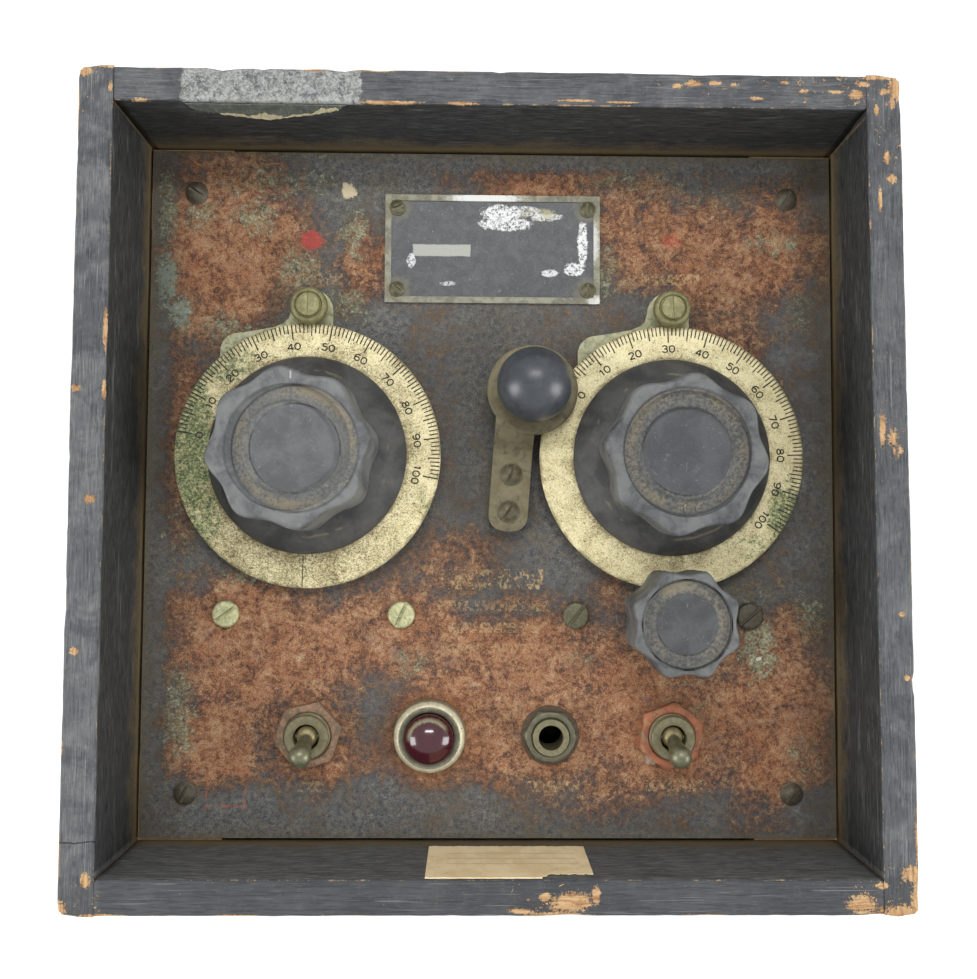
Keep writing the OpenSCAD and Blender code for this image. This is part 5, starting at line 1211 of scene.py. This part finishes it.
def smooth_line(pts, sub=3):
    """Catmull-Rom through the points, so digits are round."""
    if len(pts) < 4:
        return pts
    P = [pts[0]] + list(pts) + [pts[-1]]
    out = []
    for i in range(1, len(P) - 2):
        p0, p1, p2, p3 = (np.array(P[i + k - 1], float) for k in range(4))
        for s in range(sub):
            t = s / sub
            out.append(tuple(0.5 * ((2 * p1) + (-p0 + p2) * t + (2 * p0 - 5 * p1 + 4 * p2 - p3) * t * t + (-p0 + 3 * p1 - 3 * p2 + p3) * t ** 3)))
    out.append(tuple(pts[-1]))
    return out


def ribbon(lines, width, z, dz, verts, faces, rough=0.0):
    """Flat raised ribbons with square ends along plan lines (metres), top at z + dz."""
    for ln in lines:
        pts = [np.array(p, float) for p in ln]
        n = len(pts)
        L, R = [], []
        closed = np.linalg.norm(pts[0] - pts[-1]) < 1e-7
        for i, p in enumerate(pts):
            a = pts[i - 1] if i > 0 else (pts[-2] if closed else p)
            b = pts[i + 1] if i < n - 1 else (pts[1] if closed else p)
            t = b - a
            t = t / max(np.linalg.norm(t), 1e-12)
            nn = np.array((-t[1], t[0]))
            w = width / 2 * (1 + rough * (rnd.random() - 0.5))
            L.append(p + nn * w)
            R.append(p - nn * w)
        base = len(verts)
        for i in range(n):
            for q, zz in ((L[i], z), (R[i], z), (R[i] * 0.88 + L[i] * 0.12, z + dz), (L[i] * 0.88 + R[i] * 0.12, z + dz)):
                verts.append((q[0], q[1], zz))
        for i in range(n - 1):
            a, b = base + 4 * i, base + 4 * (i + 1)
            faces += [(a + 3, a + 2, b + 2, b + 3), (a + 0, a + 3, b + 3, b + 0), (a + 2, a + 1, b + 1, b + 2), (a + 1, a + 0, b + 0, b + 1)]
        if not closed:
            a, b = base, base + 4 * (n - 1)
            faces += [(a, a + 1, a + 2, a + 3), (b + 3, b + 2, b + 1, b)]


def text_lines(s, h, cx, cy, ang, spacing=0.86, wide=1.0):
    """Plan lines of a number centred on (cx, cy), baseline turned by ang radians, in metres."""
    widths = [0.36 if ch == "1" else 0.62 for ch in s]
    gap = spacing - 0.62
    tot = sum(widths) + gap * (len(s) - 1)
    x = -tot / 2
    out = []
    ca, sa = math.cos(ang), math.sin(ang)
    for ch, w in zip(s, widths):
        ox = x - (0.12 if ch == "1" else 0.0)
        for st in DIGITS[ch]:
            sm = smooth_line(st) if ch not in "147" else st
            line = []
            for px, py in sm:
                u, v = (ox + px) * h * wide, (py - 0.5) * h
                line.append((cx + u * ca - v * sa, cy + u * sa + v * ca))
            out.append(line)
        x += w + gap
    return out


for side, reading in (("left", 44.4), ("right", 30.8)):
    c = DIAL[side]
    V, F = [], []
    z = ZP + 5.5 * MM - 0.01 * MM
    for i in range(101):
        a = math.radians(90 + (reading - i) * 1.8)
        L = 4.1 if i % 10 == 0 else (3.3 if i % 5 == 0 else 2.35)
        L += rnd.uniform(-0.12, 0.12)
        rA, rB = 34.75, 34.75 - L
        w = 0.40 if i % 10 == 0 else 0.34
        u = (math.cos(a), math.sin(a))
        ribbon([[(c.x + u[0] * rA * MM, c.y + u[1] * rA * MM), (c.x + u[0] * (rA + rB) / 2 * MM, c.y + u[1] * (rA + rB) / 2 * MM), (c.x + u[0] * rB * MM, c.y + u[1] * rB * MM)]], w * MM, z, 0.035 * MM, V, F, 0.25)
    for i in range(0, 101, 10):
        a = math.radians(90 + (reading - i) * 1.8)
        rr = 28.9
        ribbon(text_lines(str(i), 1.75 * MM, c.x + math.cos(a) * rr * MM, c.y + math.sin(a) * rr * MM, a - math.pi / 2, 0.82, 1.34), 0.38 * MM, z, 0.035 * MM, V, F)
    if side == "left":
        a = math.radians(-91.6)
        u = (math.cos(a), math.sin(a))
        ribbon([[(c.x + u[0] * q * MM, c.y + u[1] * q * MM) for q in (26.4, 29, 31.5, 34.6)]], 0.28 * MM, z, 0.03 * MM, V, F, 0.6)
    make("graduations_" + side, V, F, M_MARK, side + "_dial", slot="dial_face", smooth=False)

# ------------------------------------------------------------------ index studs
for i, side in enumerate(("left", "right")):
    c = DIAL[side]
    s = Vector((c.x, c.y + 39.3 * MM, ZP))
    prof = [(0, 1.4), (3.5, 1.4), (3.5, 6.1), (4.75, 6.1), (4.95, 6.3), (4.97, 7.2), (4.8, 7.85), (4.3, 8.3), (3.75, 8.42), (3.55, 8.30), (3.35, 8.05), (3.15, 8.10), (3.1, 8.75), (2.95, 8.93), (2.6, 9.0), (1.3, 9.02), (0, 9.02)]
    o = lathe("index_stud_" + side, prof, s, M_BRIGHT, "case", seg=72, slot="verdigris_brass", replaces=("index_studs",), sharp=40)
    a = math.radians(3 if side == "right" else -1)
    cut(o, box_pts(s, (math.cos(a + math.pi / 2), math.sin(a + math.pi / 2), 0), (-math.sin(a + math.pi / 2), math.cos(a + math.pi / 2), 0), 2.9 * MM, 0.14 * MM, ZP + 8.75 * MM, ZP + 10 * MM), BOXF)

# ------------------------------------------------------------------ screws
def screws(prefix, items, **kw):
    for i, (x, y, ang, mat) in enumerate(items):
        screw(f"{prefix}_{i + 1}", (x * MM, y * MM, ZP + kw["z"] * MM), kw["hr"], kw["hh"], kw["sr"], kw["l"], ang, mat, kw.get("body", "case"),
              dome=kw.get("dome", True), slot_w=kw.get("sw", 0.9), slot_d=kw.get("sd", 0.95), slot=kw["slot"], replaces=(kw["node"],))


screws("corner_screw", [(-80.2, 80.2, -32, M_STEEL), (80.2, 80.2, 62, M_STEEL), (-80.2, -80.2, 72, M_STEEL), (80.2, -80.2, 48, M_STEEL)],
       z=0, hr=3.1, hh=1.9, sr=1.75, l=16, slot="dull_steel", node="panel_screws")
cxs = [-0.45 + i * 46.5 for i in (-1.5, -0.5, 0.5, 1.5)]
screws("chassis_screw", [(cxs[0], -33.2, 36, M_GREEN), (cxs[1], -33.2, 66, M_GREEN), (cxs[2], -33.2, 52, M_BRASS), (cxs[3], -33.2, 40, M_STEEL)],
       z=0, hr=3.55, hh=1.9, sr=2.05, l=7, slot="aged_brass", node="chassis_screws", dome=False, sw=1.0)
pc = cen("nameplate") / MM
screws("nameplate_screw", [(pc.x + sx * 25.8, pc.y + sy * 11.1, an, M_BRASS) for sx, sy, an in ((-1, 1, 20), (1, 1, 95), (-1, -1, 140), (1, -1, 85))],
       z=0.55, hr=2.15, hh=1.2, sr=1.1, l=5, slot="aged_brass", node="nameplate_screws", sw=0.6, sd=0.6)
screws("key_screw", [(5.15, 4.1, 66, M_KSCREW), (4.45, -5.7, 58, M_KSCREW)], z=5.5, hr=3.0, hh=1.5, sr=1.45, l=11, slot="aged_brass", node="key_screws", sw=0.75, sd=1.25)

# ------------------------------------------------------------------ key leaf, head and ball
def leaf():
    """One bent brass strip, rounded at its lower end, from the screws to the ball."""
    sl = math.radians(-3.9)
    ca, sa = math.cos(sl), math.sin(sl)
    x0, y0, half = 4.45, -5.7, 5.15

    def zof(y):                       # y along the leaf, from the lower screw
        pts = [(-6, 4.5), (9 - y0, 4.5), (11.2 - y0, 5.55), (13.2 - y0, 7.25), (15 - y0, 8.25), (17 - y0, 8.4), (60, 8.4)]
        for (a, za), (b, zb) in zip(pts, pts[1:]):
            if y <= b:
                t = (y - a) / (b - a)
                return za + (zb - za) * t
        return 8.4
    ys = [-5.25, -5.05, -4.7, -4.1, -3.3, -2.4, -1.3] + list(np.arange(0, 33.0, 1.0))
    us = [-1, -0.94, -0.8, -0.4, 0, 0.4, 0.8, 0.94, 1]
    V, F = [], []
    rows = []
    for y in ys:
        w = half
        if y < -1.25:
            w = half - 4 + math.sqrt(max(0, 16 - (y + 1.25) ** 2)) if y > -5.25 else half - 4
        for top in (0, 1):
            row = []
            for u in us:
                e = 0.18 * max(0, abs(u) - 0.8) / 0.2
                z = zof(y) + (1.0 - e if top else e)
                px, py = u * w, y
                V.append(((x0 + px * ca - py * sa) * MM, (y0 + px * sa + py * ca) * MM, ZP + z * MM))
                row.append(len(V) - 1)
            rows.append(row)
    n = len(us)
    for i in range(len(ys) - 1):
        b0, t0, b1, t1 = rows[2 * i], rows[2 * i + 1], rows[2 * i + 2], rows[2 * i + 3]
        for k in range(n - 1):
            F.append((t0[k], t0[k + 1], t1[k + 1], t1[k]))
            F.append((b0[k + 1], b0[k], b1[k], b1[k + 1]))
        F.append((b0[0], t0[0], t1[0], b1[0]))
        F.append((t0[-1], b0[-1], b1[-1], t1[-1]))
    for i in (0, len(ys) - 1):
        b, t = rows[2 * i], rows[2 * i + 1]
        for k in range(n - 1):
            F.append((b[k], b[k + 1], t[k + 1], t[k]) if i == 0 else (b[k + 1], b[k], t[k], t[k + 1]))
    o = make("key_leaf", V, F, M_LEAF, None, sharp=35)
    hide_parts("key_leaf_root", "key_leaf_arm")
    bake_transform(o)
    return o


leaf()
hc = Vector((10.45 * MM, 26.0 * MM, ZP))
lathe("key_head", [(0, 8.42), (11.6, 8.42), (11.85, 8.6), (11.9, 8.95), (11.8, 9.25), (11.5, 9.42), (10.5, 9.46), (0, 9.46)], hc, M_LEAF, "key_arm", seg=96, slot="leaf_brass")
R = 9.5
zc = 9.4 + R - 1.1
prof = [(0, 9.4)] + [(R * math.cos(math.radians(a)), zc + R * math.sin(math.radians(a))) for a in np.linspace(-62.2, 90, 40)]
prof[-1] = (0, zc + R)
lathe("key_ball_knob", prof, hc, M_BALL, "key_arm", seg=96, slot="ball_plastic", replaces=("key_ball",), sharp=None)

# ------------------------------------------------------------------ switches
row_y = cen("phone_jack_nut").y / MM
tx = {"power": cen("power_toggle_lever").x / MM, "band": cen("band_toggle_lever").x / MM}
PT = (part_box("front_panel")[1].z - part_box("front_panel")[0].z) / MM


def brick(x0, x1, y0, y1, z0, z1, r=0.4):
    """Box with chamfered edges, as vertices and faces, in mm."""
    V, F = [], []
    zs = [(z0, r), (z0 + r, 0.0), (z1 - r, 0.0), (z1, r)]
    for z, i in zs:
        q = [(x0 + i + r, y0 + i), (x1 - i - r, y0 + i), (x1 - i, y0 + i + r), (x1 - i, y1 - i - r), (x1 - i - r, y1 - i), (x0 + i + r, y1 - i), (x0 + i, y1 - i - r), (x0 + i, y0 + i + r)]
        V += [(a, b, z) for a, b in q]
    for k in range(3):
        for j in range(8):
            j2 = (j + 1) % 8
            F.append((8 * k + j, 8 * k + j2, 8 * k + 8 + j2, 8 * k + 8 + j))
    F += [tuple(range(7, -1, -1)), tuple(range(24, 32))]
    return V, F


M_SWBODY = plain("switch_body_brown", (0.060, 0.032, 0.020), (0.11, 0.058, 0.034), 0.4, (0.4, 0.65), off=7)
for k, ang, mn in (("power", 13, M_NUT), ("band", 21, M_NUT2)):
    hexnut("switch_nut_" + k, (tx[k] * MM, row_y * MM, ZP), 15.9, 2.5, 5.95, ang, mn, "case", slot="rusty_nut", replaces=("switch_nuts",))
    # threaded bushing
    prof = [(3.3, -PT - 0.4), (5.95, -PT - 0.4)]
    z = 0.0
    while z < 4.3:
        prof += [(5.95, z), (5.62, z + 0.18), (5.95, z + 0.36)]
        z += 0.54
    prof += [(5.8, 4.7), (5.5, 5.0), (3.9, 5.0), (3.45, 4.8), (3.3, 4.4)]
    lathe("switch_bushing_" + k, prof, (tx[k] * MM, row_y * MM, ZP), M_NICK, "case", seg=72, closed=True, slot="bushing_nickel", replaces=(k + "_switch_body",), sharp=30)
    # body behind the panel, a shallow well under the bushing, three lugs
    for nm, (a, b) in {"top": ((-7, 7), (10.0, 15)), "bot": ((-7, 7), (-15, -10.0)), "lft": ((-7, -4), (-10.0, 10.0)), "rgt": ((4, 7), (-10.0, 10.0)), "base": ((-4, 4), (-10.0, 10.0))}.items():
        zt = -PT - 0.02 if nm != "base" else -PT - 14.0
        V, F = brick(tx[k] + a[0], tx[k] + a[1], row_y + b[0], row_y + b[1], ZP / MM - PT - 20, ZP / MM + zt, 0.25)
        make(f"switch_{k}_{nm}", [(x * MM, y * MM, z * MM) for x, y, z in V], F, M_SWBODY, "case", slot="bushing_nickel", smooth=False)
    for t in (-1, 0, 1):
        V, F = brick(tx[k] - 0.4, tx[k] + 0.4, row_y + t * 9 - 2, row_y + t * 9 + 2, ZP / MM - PT - 27, ZP / MM - PT - 19.9, 0.12)
        make(f"switch_{k}_lug_{t + 2}", [(x * MM, y * MM, z * MM) for x, y, z in V], F, M_BRASS, "case", slot="aged_brass", smooth=False)
    # bat lever, leaning down, on its pivot pin
    rot = Matrix.Rotation(math.radians(15), 3, "X")
    prof = [(0, -8), (1.3, -7.9), (1.4, -7.5), (1.4, -2.6)] + [(2.85 * math.cos(math.radians(a)), 2.85 * math.sin(math.radians(a))) for a in range(-58, 54, 9)]
    prof += [(1.72, 2.35), (1.74, 3.2), (1.92, 5.2), (2.25, 7.8), (2.62, 10.3), (2.86, 10.9)] + [(2.9 * math.cos(math.radians(a)), 11.2 + 2.9 * math.sin(math.radians(a))) for a in range(5, 90, 9)] + [(0, 14.1)]
    lathe(k + "_lever", prof, (tx[k] * MM, row_y * MM, ZP + 2.5 * MM), M_LEVER, k + "_lever", seg=48, axis=rot, slot="lever_nickel", replaces=(k + "_toggle_lever",), sharp=50)
    pin = Matrix.Rotation(math.radians(90), 3, "Y")
    lathe(k + "_pivot_pin", [(0, -3.1), (0.7, -3.1), (0.8, -3.0), (0.8, 3.0), (0.7, 3.1), (0, 3.1)], (tx[k] * MM, row_y * MM, ZP + 2.5 * MM), M_BRASS, k + "_lever", seg=32, axis=pin, slot="lever_nickel", sharp=40)

# ------------------------------------------------------------------ pilot lamp and jack
lx = cen("lamp_bezel").x
prof = [(6.4, -11.9), (6.95, -11.9), (6.95, 0.0), (9.3, 0.0), (9.56, 0.2), (9.6, 1.0), (9.58, 2.2), (9.45, 3.1), (9.15, 3.9), (8.75, 4.5), (8.35, 4.9), (8.0, 5.05), (7.6, 5.02), (7.2, 4.92), (6.8, 4.75), (6.5, 4.5), (6.4, 4.1)]
lathe("pilot_bezel", prof, (lx, row_y * MM, ZP), M_BEZEL, "case", seg=96, closed=True, slot="bezel_nickel", replaces=("lamp_bezel",), sharp=60)
prof = [(0, 0.7), (6.2, 0.7), (6.35, 0.9), (6.38, 6.6)] + [(8 * math.cos(math.radians(a)), 2.4 + 8 * math.sin(math.radians(a))) for a in np.linspace(37.5, 90, 18)]
prof[-1] = (0, 10.4)
lathe("pilot_jewel", prof, (lx, row_y * MM, ZP), M_JEWEL, "case", seg=96, slot="ruby_jewel", replaces=("lamp_jewel",), sharp=60)
jx = cen("phone_jack_nut").x
hexnut("jack_nut", (jx, row_y * MM, ZP), 12.7, 2.5, 4.75, -3, M_JNUT, "case", z0=0.8, slot="jack_nut_nickel", replaces=("phone_jack_nut",))
lathe("jack_washer", [(4.75, 0.0), (7.6, 0.0), (7.72, 0.2), (7.72, 0.6), (7.55, 0.8), (4.75, 0.8)], (jx, row_y * MM, ZP), M_WASH, "case", seg=96, closed=True, slot="jack_nut_nickel")

# ------------------------------------------------------------------ floor, light, world
bpy.ops.mesh.primitive_plane_add(size=4, location=(0, 0, 0))
floor = bpy.context.object
floor.name = "floor"
fm = Mat("floor_paper")
fm.set(base=fm.mix(fm.noise(0.02, 3, 0.6), (0.92, 0.92, 0.92), (0.95, 0.95, 0.95)), rough=0.9, spec=0.05)
floor.data.materials.append(fm.m)


def area(name, loc, target, size, power, color=(1, 1, 1)):
    d = bpy.data.lights.new(name, "AREA")
    d.shape = "RECTANGLE"
    d.size, d.size_y = size
    d.energy = power
    d.color = color
    o = bpy.data.objects.new(name, d)
    bpy.context.scene.collection.objects.link(o)
    o.location = loc
    o.rotation_mode = "QUATERNION"
    o.rotation_quaternion = (Vector(target) - Vector(loc)).to_track_quat("-Z", "Y")
    return o


area("soft_left", (-0.95, -0.25, 0.50), (0, 0, 0.13), (0.45, 0.60), 6.5)
area("soft_right", (0.95, -0.25, 0.50), (0, 0, 0.13), (0.45, 0.60), 6.5)
area("bar_top", (0.0, 0.42, 1.0), (0, 0, 0.13), (0.50, 0.10), 3.5)
world = bpy.data.worlds.new("world")
bpy.context.scene.world = world
world.use_nodes = True
bpy.context.scene.view_settings.view_transform = "Standard"
world.node_tree.nodes["Background"].inputs[0].default_value = (0.95, 0.97, 1.0, 1)
world.node_tree.nodes["Background"].inputs[1].default_value = 0.85
